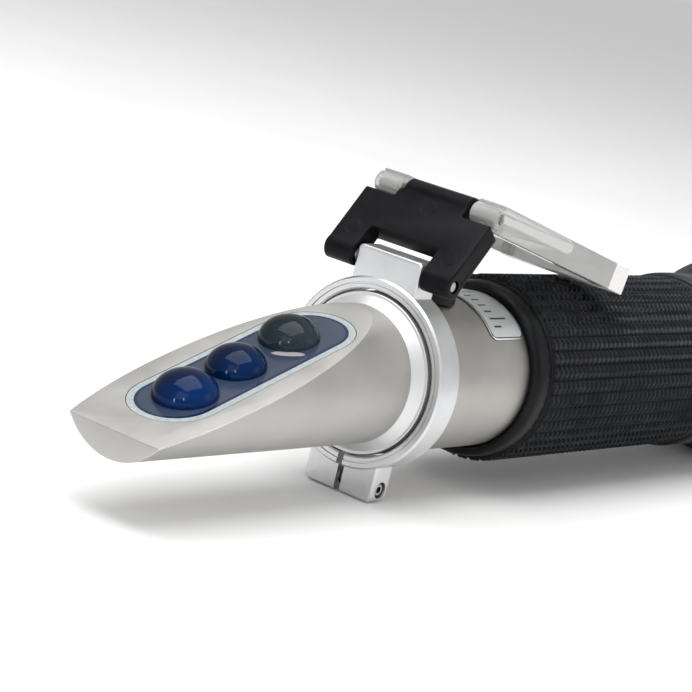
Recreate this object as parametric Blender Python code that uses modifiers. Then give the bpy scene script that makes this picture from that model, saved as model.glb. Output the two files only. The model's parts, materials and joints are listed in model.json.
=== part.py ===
"""Hand-held refractometer with an automatic temperature compensation strip, cover plate open.

The optical axis runs along X: the prism tip is at low X and the eyecup at high X. Every piece is a
solid of its own, turned, extruded or cut, and hangs from an empty on the axis that it moves about.
Sizes along the axis are measured from the clamp ring's front face, and heights from the optical axis.
"""

import math

import bmesh
import bpy

MM = 0.001
GAP = 0.3 * MM  # between pieces that touch or are pressed together
THIN_GAP = 0.12 * MM  # round glass and its seal
FINE_STEPS = 48  # facets round the outer pieces
INNER_STEPS = 28  # facets round the inner pieces
SMALL_STEPS = 20  # facets round pins and screws

# Prism head: a turned bar with a slanted face cut along its top
HEAD_RADIUS = 10.45 * MM
HEAD_LENGTH = 53.0 * MM  # tip to clamp ring face
TIP_HEIGHT = -6.4 * MM  # slanted face at the tip
SLANT = math.radians(18.9)
SHOULDER_START = -1.85 * MM
SHOULDER_END = -0.2 * MM
SHOULDER_STEP = 0.48 * MM  # from the flange down to the shoulder
FLANGE_STEP = 0.1 * MM  # from the tube down to the flange
FLANGE_END = 0.9 * MM
SPIGOT_END = 7.0 * MM
LIGHT_BORE_RADIUS = 4.6 * MM
REAR_BORE_RADIUS = 8.0 * MM
REAR_BORE_START = -2.0 * MM

# Measuring prism: a long round-ended face with a wedge of glass under it
GLASS_START = 6.4 * MM  # from the tip, along the slanted face
GLASS_LENGTH = 39.2 * MM
GLASS_WIDTH = 11.5 * MM
GLASS_THICKNESS = 2.5 * MM
WEDGE_WIDTH = 9.0 * MM
WEDGE_FLOOR = -5.0 * MM
WEDGE_EXIT = -14.0 * MM
SEAL_WIDTH = 0.95 * MM
SEAL_THICKNESS = 1.0 * MM

# Body tube
TUBE_RADIUS = 12.3 * MM
TUBE_WALL = 1.0 * MM
TUBE_END = 90.0 * MM

# Clamp ring with the hinge lug above and the split screw lug below
RING_SECTION = 1.9 * MM  # from its bore to its outside
RING_WIDTH = 5.05 * MM
RING_EDGE = 0.25 * MM
LUG_RECESS = 0.85 * MM  # lug faces stand behind the ring's face
LUG_WIDTH = 12.1 * MM
LUG_RISE = 4.05 * MM  # above the ring
FOOT_WIDTH = 12.9 * MM
FOOT_DROP = 4.05 * MM  # below the ring, to the surface that the instrument rests on
LUG_CORNER = 1.0 * MM
LUG_ROOT = 2.0 * MM  # how far each lug reaches into the ring
SPLIT_WIDTH = 1.1 * MM
CLAMP_SCREW_RADIUS = 1.0 * MM
CLAMP_SCREW_OFFSET = 2.1 * MM  # below the ring
SOCKET_RADIUS = 0.55 * MM
SOCKET_DEPTH = 1.5 * MM

# Cover linkage
PIN_X = 1.4 * MM
PIN_DEPTH = 1.95 * MM  # below the top of the lug
PIN_RADIUS = 0.9 * MM
ARM_LENGTH = 13.3 * MM  # hinge pin to cover pin
ARM_LEAN = math.radians(51.0)  # the arm's slope when open
ARM_THICKNESS = 3.5 * MM
ARM_WIDTH = 23.4 * MM
KNUCKLE_RADIUS = 1.9 * MM
ARM_BARREL_RADIUS = 1.95 * MM
ARM_BARREL_WIDTH = 12.6 * MM
COVER_PIN_RADIUS = 0.75 * MM
COVER_LENGTH = 43.0 * MM  # cover pin to the lip
COVER_WIDTH = 22.8 * MM
COVER_THICKNESS = 4.4 * MM
COVER_WEB = 2.2 * MM
COVER_RAIL = 2.4 * MM
COVER_LIP = 5.0 * MM
COVER_BARREL_RADIUS = 1.7 * MM
COVER_CORNER = 2.0 * MM  # corners of the recess in its underside
COVER_EDGE = 0.4 * MM

# Calibration screw, its bush and its rubber cap
SCREW_X = 12.0 * MM
SCREW_RADIUS = 1.0 * MM
SCREW_HEAD_RADIUS = 1.9 * MM
SCREW_HEAD_HEIGHT = 1.0 * MM
SCREW_SLOT_WIDTH = 0.5 * MM
BUSH_RADIUS = 2.4 * MM
BUSH_RISE = 1.3 * MM  # above the tube
BUSH_DEPTH = 2.0 * MM  # below the tube's outer surface
CAP_RADIUS = 4.8 * MM
CAP_WALL = 1.0 * MM
CAP_TOP = 1.2 * MM
CAP_DRAFT = 0.2 * MM  # how much narrower it is above

# Lens carriage, which the calibration screw raises and lowers
CARRIAGE_TRAVEL = 0.35 * MM
CARRIER_DISC_START = 14.5 * MM
CARRIER_DISC_THICKNESS = 1.5 * MM
CARRIER_DISC_RADIUS = 9.6 * MM
CARRIER_WINDOW_RADIUS = 5.2 * MM
BOSS_LENGTH = 5.5 * MM
BOSS_WIDTH = 6.0 * MM
BOSS_TOP = 9.0 * MM
BOSS_HEIGHT = 3.0 * MM
STRIP_DROP = 8.3 * MM  # top of the strip, below the optical axis
STRIP_THICKNESS = 0.6 * MM
STRIP_WIDTH = 6.0 * MM
STRIP_LENGTH = 20.5 * MM
FOOT_LENGTH = 5.0 * MM
FOOT_THICKNESS = 1.4 * MM
RIVET_RADIUS = 0.6 * MM
RIVET_HEAD_RADIUS = 1.1 * MM
RIVET_HEAD_HEIGHT = 0.5 * MM
CELL_RADIUS = 7.4 * MM
CELL_LENGTH = 5.0 * MM
CELL_LIP = 1.0 * MM
LENS_RADIUS = 5.4 * MM
LENS_THICKNESS = 2.2 * MM
LENS_BULGE = 0.6 * MM

# Scale glass, its holder and the light baffle in the tube
BAFFLE_START = 54.0 * MM
BAFFLE_LENGTH = 2.6 * MM
BAFFLE_BORE = 7.0 * MM
HOLDER_START = 74.0 * MM
HOLDER_LENGTH = 6.2 * MM
HOLDER_LIP = 2.0 * MM
SCALE_RADIUS = 9.4 * MM
SCALE_THICKNESS = 1.2 * MM
SCALE_WINDOW_RADIUS = 8.2 * MM

# Rubber grip
GRIP_START = 27.9 * MM
GRIP_NOSE_END = 31.5 * MM
GRIP_NOSE_WALL = 1.45 * MM
GRIP_WALL = 2.45 * MM
GRIP_END = 90.6 * MM
GRIP_EDGE = 0.4 * MM

# Label on the tube
LABEL_START = 18.5 * MM
LABEL_LENGTH = 9.0 * MM
LABEL_HALF_ANGLE = math.radians(51.0)
LABEL_CORNER = 1.3 * MM
LABEL_THICKNESS = 0.15 * MM

# Eyepiece, which screws in and out of the tube
BARREL_START = 80.9 * MM
EYEPIECE_COLLAR_RADIUS = 15.6 * MM
EYEPIECE_COLLAR_LENGTH = 10.4 * MM
EYEPIECE_CHAMFER = 0.8 * MM
EYEPIECE_CORE_RADIUS = 13.2 * MM
EYEPIECE_CORE_END = 114.5 * MM
EYEPIECE_BORE_RADIUS = 8.6 * MM
LENS_CHAMBER_START = 104.0 * MM
EYE_LENS_RADIUS = 10.1 * MM
EYE_LENS_THICKNESS = 3.0 * MM
EYE_LENS_BULGE = 1.0 * MM
SPACER_LENGTH = 1.8 * MM
SPACER_WALL = 1.2 * MM
STOP_LENGTH = 1.0 * MM
STOP_BORE = 6.0 * MM
RETAINER_LENGTH = 1.6 * MM
RETAINER_BORE = 8.4 * MM
RETAINER_FLARE = 0.8 * MM
EYECUP_FLARE_LENGTH = 14.0 * MM
EYECUP_START_RADIUS = 15.0 * MM
EYECUP_BAND = 4.0 * MM  # length of its widest part
EYECUP_ROUND = 1.0 * MM  # rounding at each end of the widest part and at the rim
EYECUP_END = 127.0 * MM
EYECUP_RIM_RADIUS = 16.4 * MM
EYECUP_WALL = 1.3 * MM
EYECUP_LIP_RADIUS = 10.9 * MM
EYECUP_LIP_LENGTH = 1.8 * MM
EYECUP_DISH_START = 2.0 * MM  # the dish behind the lip: two steps along it
EYECUP_DISH_MIDDLE = 5.0 * MM

# Sealing rings
CORD_RADIUS = 0.55 * MM
GROOVE_WIDTH = 1.8 * MM
GROOVE_DEPTH = 1.1 * MM
HEAD_GROOVE_X = 4.0 * MM
FOCUS_GROOVE_X = 83.4 * MM

# Sizes that follow from the ones above
TUBE_BORE = TUBE_RADIUS - TUBE_WALL
INNER_FIT = TUBE_BORE - GAP  # radius of what slides into the tube
RING_BORE = TUBE_RADIUS + GAP
RING_RADIUS = RING_BORE + RING_SECTION
LUG_TOP = RING_RADIUS + LUG_RISE
REST_HEIGHT = RING_RADIUS + FOOT_DROP
CLAMP_SCREW_DROP = RING_RADIUS + CLAMP_SCREW_OFFSET
PIN_Z = LUG_TOP - PIN_DEPTH
FLANGE_RADIUS = TUBE_RADIUS - FLANGE_STEP
SHOULDER_RADIUS = FLANGE_RADIUS - SHOULDER_STEP
GRIP_NOSE_RADIUS = TUBE_RADIUS + GAP + GRIP_NOSE_WALL
GRIP_RADIUS = TUBE_RADIUS + GAP + GRIP_WALL
TUBE_START = FLANGE_END + GAP
LUG_DEPTH = RING_WIDTH - LUG_RECESS
LUG_MIDDLE = LUG_RECESS + LUG_DEPTH / 2
GLASS_END = GLASS_WIDTH / 2
SEAL_INNER = GLASS_END + THIN_GAP
SEAL_OUTER = SEAL_INNER + SEAL_WIDTH
SLANT_MIDDLE = GLASS_START + GLASS_LENGTH / 2
EYEPIECE_COLLAR_START = GRIP_END + GAP
EYEPIECE_COLLAR_END = EYEPIECE_COLLAR_START + EYEPIECE_COLLAR_LENGTH
EYECUP_START = EYEPIECE_COLLAR_END + GAP
SLOT_HALF = LUG_WIDTH / 2 + GAP
SLOT_DEPTH = math.hypot(RING_WIDTH - PIN_X, LUG_TOP - PIN_Z) + GAP
OBJECT_MIDDLE = (EYECUP_END - HEAD_LENGTH) / 2
ALONG_X = (0, math.pi / 2, 0)
ALONG_Y = (math.pi / 2, 0, 0)
ON_SLANT = (0, -SLANT, 0)


def clear_scene():
    for thing in list(bpy.data.objects):
        bpy.data.objects.remove(thing)
    for group in list(bpy.data.collections):
        bpy.data.collections.remove(group)


def new_collection(name):
    group = bpy.data.collections.new(name)
    bpy.context.scene.collection.children.link(group)
    return group


def finish_of(name, colour, roughness, metallic=0.0, transmission=0.0):
    """A Principled material of one finish."""
    finish = bpy.data.materials.new(name)
    finish.use_nodes = True
    shader = finish.node_tree.nodes["Principled BSDF"]
    shader.inputs["Base Color"].default_value = (*colour, 1.0)
    shader.inputs["Roughness"].default_value = roughness
    shader.inputs["Metallic"].default_value = metallic
    shader.inputs["Transmission Weight"].default_value = transmission
    finish.diffuse_color = (*colour, 1.0)
    return finish


def pivot(name, parent, location=(0, 0, 0), rotation=(0, 0, 0)):
    """An empty on a joint's axis, or at a frame's origin."""
    empty = bpy.data.objects.new(name, None)
    parts.objects.link(empty)
    empty.parent = parent
    empty.location = location
    empty.rotation_euler = rotation
    return empty


def place(name, mesh, parent, location, rotation, finish):
    """Links a mesh as a part, or as a cutter when it has no finish."""
    piece = bpy.data.objects.new(name, mesh)
    piece.parent = parent
    piece.location = location
    piece.rotation_euler = rotation
    if finish is None:
        cutters.objects.link(piece)
        piece.hide_render = True
        piece.display_type = "WIRE"
    else:
        parts.objects.link(piece)
        mesh.materials.append(finish)
        mesh.shade_smooth()
    return piece


def turned(name, parent, outer, inner=None, finish=None, location=(0, 0, 0),
           rotation=ALONG_X, steps=INNER_STEPS):
    """A turned piece. Its outlines are (distance along the axis, radius), from the front to the rear."""
    if inner is None:
        points = [(outer[-1][0], 0.0)] + list(reversed(outer)) + [(outer[0][0], 0.0)]
    else:
        points = list(reversed(outer)) + list(inner)
    mesh = bpy.data.meshes.new(name)
    edges = [(i, i + 1) for i in range(len(points) - 1)]
    if inner is not None:
        edges.append((len(points) - 1, 0))
    mesh.from_pydata([(radius, 0.0, along) for along, radius in points], edges, [])
    piece = place(name, mesh, parent, location, rotation, finish)
    screw = piece.modifiers.new("turn", "SCREW")
    screw.axis = "Z"
    screw.steps = steps
    screw.render_steps = steps
    screw.use_merge_vertices = True
    screw.merge_threshold = 1e-6
    screw.use_smooth_shade = False
    return piece


def rod(name, parent, radius, start, end, finish=None, location=(0, 0, 0), rotation=ALONG_X,
        steps=SMALL_STEPS):
    """A plain round bar or a round cutter."""
    mesh = bpy.data.meshes.new(name)
    shape = bmesh.new()
    bmesh.ops.create_cone(shape, cap_ends=True, segments=steps, radius1=radius, radius2=radius,
                          depth=end - start)
    bmesh.ops.translate(shape, verts=shape.verts, vec=(0, 0, (start + end) / 2))
    shape.to_mesh(mesh)
    shape.free()
    return place(name, mesh, parent, location, rotation, finish)


def block(name, parent, low, high, finish=None, location=(0, 0, 0), rotation=(0, 0, 0)):
    """A box between two corners."""
    mesh = bpy.data.meshes.new(name)
    shape = bmesh.new()
    bmesh.ops.create_cube(shape, size=1.0)
    bmesh.ops.scale(shape, verts=shape.verts, vec=[b - a for a, b in zip(low, high)])
    bmesh.ops.translate(shape, verts=shape.verts, vec=[(a + b) / 2 for a, b in zip(low, high)])
    shape.to_mesh(mesh)
    shape.free()
    return place(name, mesh, parent, location, rotation, finish)


def extruded(name, parent, outline, thickness, finish=None, location=(0, 0, 0), rotation=(0, 0, 0)):
    """A flat outline in the piece's own XY plane, half of its thickness on each side."""
    curve = bpy.data.curves.new(name, "CURVE")
    curve.dimensions = "2D"
    curve.fill_mode = "BOTH"
    curve.extrude = thickness / 2
    line = curve.splines.new("POLY")
    line.points.add(len(outline) - 1)
    for point, (x, y) in zip(line.points, outline):
        point.co = (x, y, 0.0, 1.0)
    line.use_cyclic_u = True
    guide = bpy.data.objects.new(name, curve)
    cutters.objects.link(guide)
    bpy.context.view_layer.update()
    graph = bpy.context.evaluated_depsgraph_get()
    mesh = bpy.data.meshes.new_from_object(guide.evaluated_get(graph))
    bpy.data.objects.remove(guide)
    bpy.data.curves.remove(curve)
    shape = bmesh.new()
    shape.from_mesh(mesh)
    bmesh.ops.remove_doubles(shape, verts=shape.verts, dist=1e-7)
    bmesh.ops.recalc_face_normals(shape, faces=shape.faces)
    shape.to_mesh(mesh)
    shape.free()
    mesh.materials.clear()
    return place(name, mesh, parent, location, rotation, finish)


def combine(piece, other, operation):
    """Cuts the other shape from the piece, joins it to the piece, or keeps what both share."""
    if other.name not in cutters.objects:
        parts.objects.unlink(other)
        cutters.objects.link(other)
        other.hide_render = True
    join = piece.modifiers.new(other.name, "BOOLEAN")
    join.operation = operation
    join.object = other
    join.solver = "EXACT"


def cut(piece, *others):
    for other in others:
        combine(piece, other, "DIFFERENCE")


def join(piece, *others):
    for other in others:
        combine(piece, other, "UNION")


def rounded_rectangle(half_x, half_y, radius, steps=6, middle=(0, 0)):
    """Corner points of a rectangle with round corners, or of a round-ended slot."""
    points = []
    for quarter, (sx, sy) in enumerate(((1, 1), (-1, 1), (-1, -1), (1, -1))):
        for step in range(steps + 1):
            turn = (quarter + step / steps) * math.pi / 2
            x = middle[0] + sx * (half_x - radius) + radius * math.cos(turn)
            y = middle[1] + sy * (half_y - radius) + radius * math.sin(turn)
            if not points or math.dist(points[-1], (x, y)) > 1e-7:
                points.append((x, y))
    if math.dist(points[-1], points[0]) < 1e-7:
        points.pop()
    return points


def arc(middle, radius, first, last, steps=6):
    """Points on an arc of a turned outline, with its angles in degrees from the axis direction."""
    points = []
    for step in range(steps + 1):
        turn = math.radians(first + (last - first) * step / steps)
        points.append((middle[0] + radius * math.cos(turn), middle[1] + radius * math.sin(turn)))
    return points


def on_slant(along, above=0.0):
    """A point of the slanted face, by its distance from the tip and its height above the face."""
    return (
        -HEAD_LENGTH + along * math.cos(SLANT) - above * math.sin(SLANT),
        0.0,
        TIP_HEIGHT + along * math.sin(SLANT) + above * math.cos(SLANT),
    )


clear_scene()
parts = new_collection("refractometer")
cutters = new_collection("refractometer_cutters")

SATIN_ALUMINIUM = finish_of("satin_aluminium", (0.62, 0.61, 0.59), 0.38, 1.0)
BRIGHT_ALUMINIUM = finish_of("bright_aluminium", (0.78, 0.78, 0.79), 0.25, 1.0)
STEEL = finish_of("steel", (0.55, 0.55, 0.56), 0.3, 1.0)
BRASS = finish_of("brass", (0.72, 0.55, 0.28), 0.3, 1.0)
BLACK_PLASTIC = finish_of("black_plastic", (0.02, 0.021, 0.024), 0.45)
BLACK_RUBBER = finish_of("black_rubber", (0.015, 0.016, 0.018), 0.75)
CLEAR_ACRYLIC = finish_of("clear_acrylic", (0.9, 0.9, 0.9), 0.1, 0.0, 0.9)
GLASS = finish_of("glass", (0.35, 0.42, 0.52), 0.05, 0.0, 0.6)
SEAL = finish_of("pale_seal", (0.75, 0.78, 0.72), 0.6)
LABEL = finish_of("label", (0.78, 0.78, 0.79), 0.4)

# The optical axis, placed so that the object's box stands on the origin
AXIS = pivot("optical_axis", None, (-OBJECT_MIDDLE, 0, REST_HEIGHT))


# Prism head: turned bar, slanted cut, seats for the glass and its seal, and the light bore
head = turned(
    "prism_head", AXIS,
    outer=[(-HEAD_LENGTH, HEAD_RADIUS), (SHOULDER_START, HEAD_RADIUS),
           (SHOULDER_END, SHOULDER_RADIUS), (SHOULDER_END, FLANGE_RADIUS),
           (FLANGE_END, FLANGE_RADIUS), (FLANGE_END, INNER_FIT),
           (HEAD_GROOVE_X - GROOVE_WIDTH / 2, INNER_FIT),
           (HEAD_GROOVE_X - GROOVE_WIDTH / 2, INNER_FIT - GROOVE_DEPTH),
           (HEAD_GROOVE_X + GROOVE_WIDTH / 2, INNER_FIT - GROOVE_DEPTH),
           (HEAD_GROOVE_X + GROOVE_WIDTH / 2, INNER_FIT), (SPIGOT_END, INNER_FIT)],
    finish=SATIN_ALUMINIUM, steps=FINE_STEPS,
)
slant_cutter = block(
    "slant_cutter", AXIS,
    (-HEAD_RADIUS, -2 * HEAD_RADIUS, 0), (2 * HEAD_LENGTH, 2 * HEAD_RADIUS, 3 * HEAD_RADIUS),
    location=on_slant(0), rotation=ON_SLANT,
)
glass_middle = on_slant(SLANT_MIDDLE)
pocket_depth = GLASS_THICKNESS + GAP
seal_seat = SEAL_THICKNESS + THIN_GAP
straight = GLASS_LENGTH / 2 - GLASS_END
glass_seat = extruded(
    "glass_seat_cutter", AXIS,
    rounded_rectangle(straight + GLASS_END + GAP, GLASS_END + GAP, GLASS_END + GAP, 10),
    2 * pocket_depth, location=glass_middle, rotation=ON_SLANT,
)
seal_groove = extruded(
    "seal_seat_cutter", AXIS,
    rounded_rectangle(straight + SEAL_OUTER + THIN_GAP, SEAL_OUTER + THIN_GAP,
                      SEAL_OUTER + THIN_GAP, 10),
    2 * seal_seat, location=glass_middle, rotation=ON_SLANT,
)


def wedge_outline(spread):
    """Side view of the glass wedge under the measuring face, let out on each side by a spread."""
    slope = math.tan(SLANT)
    top = TIP_HEIGHT - 0.6 * GLASS_THICKNESS / math.cos(SLANT)
    under = TIP_HEIGHT - GLASS_THICKNESS / math.cos(SLANT)
    rear = WEDGE_EXIT + spread
    floor = WEDGE_FLOOR - spread
    front = (floor + spread - under) / slope - HEAD_LENGTH - spread
    return [
        (rear, floor),
        (rear, top + slope * (rear + HEAD_LENGTH)),
        (front, top + slope * (front + HEAD_LENGTH)),
        (front, floor),
    ]


wedge_seat = extruded("wedge_seat_cutter", AXIS, wedge_outline(GAP), WEDGE_WIDTH + 2 * GAP,
                      rotation=ALONG_Y)
light_bore = turned(
    "light_bore_cutter", AXIS,
    outer=[(WEDGE_EXIT - GAP, LIGHT_BORE_RADIUS), (REAR_BORE_START, LIGHT_BORE_RADIUS),
           (REAR_BORE_START, REAR_BORE_RADIUS), (SPIGOT_END + 2 * GAP, REAR_BORE_RADIUS)],
)
cut(head, slant_cutter, glass_seat, seal_groove, wedge_seat, light_bore)

# Measuring prism and the pale band that seals it into the head
prism = extruded(
    "prism", AXIS, rounded_rectangle(straight + GLASS_END, GLASS_END, GLASS_END, 10),
    GLASS_THICKNESS, GLASS, on_slant(SLANT_MIDDLE, -GLASS_THICKNESS / 2), ON_SLANT,
)
wedge = extruded("prism_wedge", AXIS, wedge_outline(0), WEDGE_WIDTH, rotation=ALONG_Y)
join(prism, wedge)
seal = extruded(
    "prism_seal", AXIS, rounded_rectangle(straight + SEAL_OUTER, SEAL_OUTER, SEAL_OUTER, 10),
    SEAL_THICKNESS, SEAL, on_slant(SLANT_MIDDLE, -SEAL_THICKNESS / 2), ON_SLANT,
)
cut(seal, extruded(
    "seal_window_cutter", AXIS, rounded_rectangle(straight + SEAL_INNER, SEAL_INNER, SEAL_INNER, 10),
    3 * SEAL_THICKNESS, location=glass_middle, rotation=ON_SLANT,
))


def sealing_ring(name, parent, middle):
    """A round cord lying in a groove of a piece that slides into the tube."""
    groove_floor = INNER_FIT - GROOVE_DEPTH
    radius = (groove_floor + TUBE_BORE) / 2
    loop = arc((middle, radius), CORD_RADIUS, 180, -180, 8)[:-1]
    return turned(name, parent, outer=loop, inner=[], finish=BLACK_RUBBER)


sealing_ring("head_o_ring", AXIS, HEAD_GROOVE_X)

# Body tube with the hole for the calibration bush
tube = turned(
    "body_tube", AXIS,
    outer=[(TUBE_START, TUBE_RADIUS), (TUBE_END, TUBE_RADIUS)],
    inner=[(TUBE_START, TUBE_BORE), (TUBE_END, TUBE_BORE)],
    finish=SATIN_ALUMINIUM, steps=FINE_STEPS,
)
cut(tube, rod("bush_hole_cutter", AXIS, BUSH_RADIUS + GAP, TUBE_BORE / 2, 2 * TUBE_RADIUS,
              location=(SCREW_X, 0, 0), rotation=(0, 0, 0)))

# Clamp ring: ring, hinge lug, split lug, then its bore, split and holes
ring = turned(
    "clamp_ring", AXIS,
    outer=[(0, RING_RADIUS - RING_EDGE), (RING_EDGE, RING_RADIUS),
           (RING_WIDTH - RING_EDGE, RING_RADIUS), (RING_WIDTH, RING_RADIUS - RING_EDGE)],
    inner=[(0, RING_BORE - 1.5 * LUG_ROOT), (RING_WIDTH, RING_BORE - 1.5 * LUG_ROOT)],
    finish=BRIGHT_ALUMINIUM, steps=FINE_STEPS,
)
lug_root = (RING_RADIUS + RING_BORE) / 2 - LUG_ROOT
YZ_PLANE = (math.pi / 2, 0, math.pi / 2)
lug = extruded(
    "hinge_lug", AXIS,
    rounded_rectangle(LUG_WIDTH / 2, (LUG_TOP - lug_root) / 2, LUG_CORNER, 4,
                      (0, (LUG_TOP + lug_root) / 2)),
    LUG_DEPTH, location=(LUG_MIDDLE, 0, 0), rotation=YZ_PLANE,
)
foot = extruded(
    "screw_lug", AXIS,
    rounded_rectangle(FOOT_WIDTH / 2, (REST_HEIGHT - lug_root) / 2, LUG_CORNER, 4,
                      (0, -(REST_HEIGHT + lug_root) / 2)),
    LUG_DEPTH, location=(LUG_MIDDLE, 0, 0), rotation=YZ_PLANE,
)
join(ring, lug, foot)
cut(
    ring,
    rod("ring_bore_cutter", AXIS, RING_BORE, -RING_WIDTH, 2 * RING_WIDTH, steps=FINE_STEPS),
    block("split_cutter", AXIS, (-RING_WIDTH, -SPLIT_WIDTH / 2, -2 * REST_HEIGHT),
          (2 * RING_WIDTH, SPLIT_WIDTH / 2, -RING_BORE / 2)),
    rod("clamp_screw_cutter", AXIS, CLAMP_SCREW_RADIUS + GAP, -FOOT_WIDTH, FOOT_WIDTH,
        location=(LUG_MIDDLE, 0, -CLAMP_SCREW_DROP), rotation=ALONG_Y),
    rod("hinge_pin_cutter", AXIS, PIN_RADIUS + GAP / 3, -ARM_WIDTH, ARM_WIDTH,
        location=(PIN_X, 0, PIN_Z), rotation=ALONG_Y),
)
clamp_screw = rod("clamp_screw", AXIS, CLAMP_SCREW_RADIUS, -FOOT_WIDTH / 2 + GAP,
                  FOOT_WIDTH / 2 - GAP, STEEL, (LUG_MIDDLE, 0, -CLAMP_SCREW_DROP), ALONG_Y)
cut(clamp_screw, rod("socket_cutter", AXIS, SOCKET_RADIUS, FOOT_WIDTH / 2 - SOCKET_DEPTH, FOOT_WIDTH,
                     location=(LUG_MIDDLE, 0, -CLAMP_SCREW_DROP), rotation=ALONG_Y, steps=6))

# Hinge pin and cover arm. The arm's own X axis runs from the hinge pin to the cover pin.
rod("hinge_pin", AXIS, PIN_RADIUS, -ARM_WIDTH / 2 + GAP, ARM_WIDTH / 2 - GAP, STEEL,
    (PIN_X, 0, PIN_Z), ALONG_Y)
ARM = pivot("cover_arm_pivot", AXIS, (PIN_X, 0, PIN_Z), (0, -ARM_LEAN, 0))
arm_half = ARM_WIDTH / 2
barrel_half = ARM_BARREL_WIDTH / 2
shelf = ARM_LENGTH - max(COVER_BARREL_RADIUS, COVER_THICKNESS / 2) - GAP
arm = extruded(
    "hinge_block", ARM,
    [(0, arm_half), (0, SLOT_HALF), (SLOT_DEPTH, SLOT_HALF), (SLOT_DEPTH, -SLOT_HALF),
     (0, -SLOT_HALF), (0, -arm_half), (shelf, -arm_half), (shelf, -barrel_half),
     (ARM_LENGTH, -barrel_half), (ARM_LENGTH, barrel_half), (shelf, barrel_half),
     (shelf, arm_half)],
    ARM_THICKNESS, BLACK_PLASTIC,
)
join(
    arm,
    rod("arm_barrel", ARM, ARM_BARREL_RADIUS, -barrel_half, barrel_half,
        location=(ARM_LENGTH, 0, 0), rotation=ALONG_Y, steps=24),
    rod("near_knuckle", ARM, KNUCKLE_RADIUS, SLOT_HALF, arm_half, rotation=ALONG_Y, steps=24),
    rod("far_knuckle", ARM, KNUCKLE_RADIUS, -arm_half, -SLOT_HALF, rotation=ALONG_Y, steps=24),
)
cut(
    arm,
    rod("arm_pin_cutter", ARM, PIN_RADIUS + GAP / 3, -ARM_WIDTH, ARM_WIDTH, rotation=ALONG_Y),
    rod("arm_cover_pin_cutter", ARM, COVER_PIN_RADIUS + GAP / 3, -ARM_WIDTH, ARM_WIDTH,
        location=(ARM_LENGTH, 0, 0), rotation=ALONG_Y),
)
cover_half = COVER_WIDTH / 2
rod("cover_pin", ARM, COVER_PIN_RADIUS, -cover_half + GAP, cover_half - GAP, STEEL,
    (ARM_LENGTH, 0, 0), ALONG_Y)

# Cover plate. Open, its lip lies on the grip, and its own X axis runs from the cover pin to the lip.
cover_pin_height = PIN_Z + ARM_LENGTH * math.sin(ARM_LEAN)
drop_to_grip = cover_pin_height - GRIP_RADIUS - GAP
COVER_DIP = (math.asin(drop_to_grip / math.hypot(COVER_LENGTH, COVER_THICKNESS / 2))
             - math.atan2(COVER_THICKNESS / 2, COVER_LENGTH))
COVER = pivot("cover_plate_pivot", ARM, (ARM_LENGTH, 0, 0), (0, ARM_LEAN + COVER_DIP, 0))
half_thickness = COVER_THICKNESS / 2
cover = extruded(
    "cover_plate", COVER,
    [(0, cover_half), (0, barrel_half + GAP), (ARM_BARREL_RADIUS + GAP, barrel_half + GAP),
     (ARM_BARREL_RADIUS + GAP, -barrel_half - GAP), (0, -barrel_half - GAP), (0, -cover_half),
     (COVER_LENGTH, -cover_half), (COVER_LENGTH, cover_half)],
    COVER_THICKNESS, CLEAR_ACRYLIC,
)
recess_start = COVER_BARREL_RADIUS + COVER_RAIL
recess_end = COVER_LENGTH - COVER_LIP
join(
    cover,
    rod("near_cover_barrel", COVER, COVER_BARREL_RADIUS, barrel_half + GAP, cover_half,
        rotation=ALONG_Y, steps=24),
    rod("far_cover_barrel", COVER, COVER_BARREL_RADIUS, -cover_half, -barrel_half - GAP,
        rotation=ALONG_Y, steps=24),
)
cut(
    cover,
    rod("cover_bore_cutter", COVER, COVER_PIN_RADIUS + GAP / 3, -COVER_WIDTH, COVER_WIDTH,
        rotation=ALONG_Y),
    extruded(
        "cover_recess_cutter", COVER,
        rounded_rectangle((recess_end - recess_start) / 2, cover_half - COVER_RAIL, COVER_CORNER, 4,
                          ((recess_start + recess_end) / 2, 0)),
        2 * (COVER_THICKNESS - COVER_WEB), location=(0, 0, -half_thickness),
    ),
    block("near_edge_cutter", COVER, (-ARM_LENGTH, 0, -COVER_EDGE),
          (2 * COVER_LENGTH, 2 * COVER_EDGE, COVER_EDGE),
          location=(0, cover_half - COVER_EDGE, -half_thickness), rotation=(math.pi / 4, 0, 0)),
    block("far_edge_cutter", COVER, (-ARM_LENGTH, -2 * COVER_EDGE, -COVER_EDGE),
          (2 * COVER_LENGTH, 0, COVER_EDGE),
          location=(0, COVER_EDGE - cover_half, -half_thickness), rotation=(-math.pi / 4, 0, 0)),
)

# Calibration bush, screw and rubber cap, on a vertical axis
bush_top = TUBE_RADIUS + BUSH_RISE
turned(
    "calibration_bush", AXIS,
    outer=[(TUBE_RADIUS - BUSH_DEPTH, BUSH_RADIUS), (bush_top, BUSH_RADIUS)],
    inner=[(TUBE_RADIUS - BUSH_DEPTH, SCREW_RADIUS + GAP), (bush_top, SCREW_RADIUS + GAP)],
    finish=BRASS, location=(SCREW_X, 0, 0), rotation=(0, 0, 0), steps=24,
)
SCREW = pivot("calibration_pivot", AXIS, (SCREW_X, 0, 0))
head_start = bush_top + GAP
head_end = head_start + SCREW_HEAD_HEIGHT
screw = turned(
    "calibration_screw", SCREW,
    outer=[(BOSS_TOP - BOSS_HEIGHT - CARRIAGE_TRAVEL, SCREW_RADIUS), (head_start, SCREW_RADIUS),
           (head_start, SCREW_HEAD_RADIUS), (head_end, SCREW_HEAD_RADIUS)],
    finish=STEEL, rotation=(0, 0, 0), steps=24,
)
cut(screw, block("screw_slot_cutter", SCREW,
                 (-2 * SCREW_HEAD_RADIUS, -SCREW_SLOT_WIDTH / 2, head_end - SCREW_HEAD_HEIGHT / 2),
                 (2 * SCREW_HEAD_RADIUS, SCREW_SLOT_WIDTH / 2, 2 * head_end)))
cap_inside = head_end + GAP
cap_top = cap_inside + CAP_TOP
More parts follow.
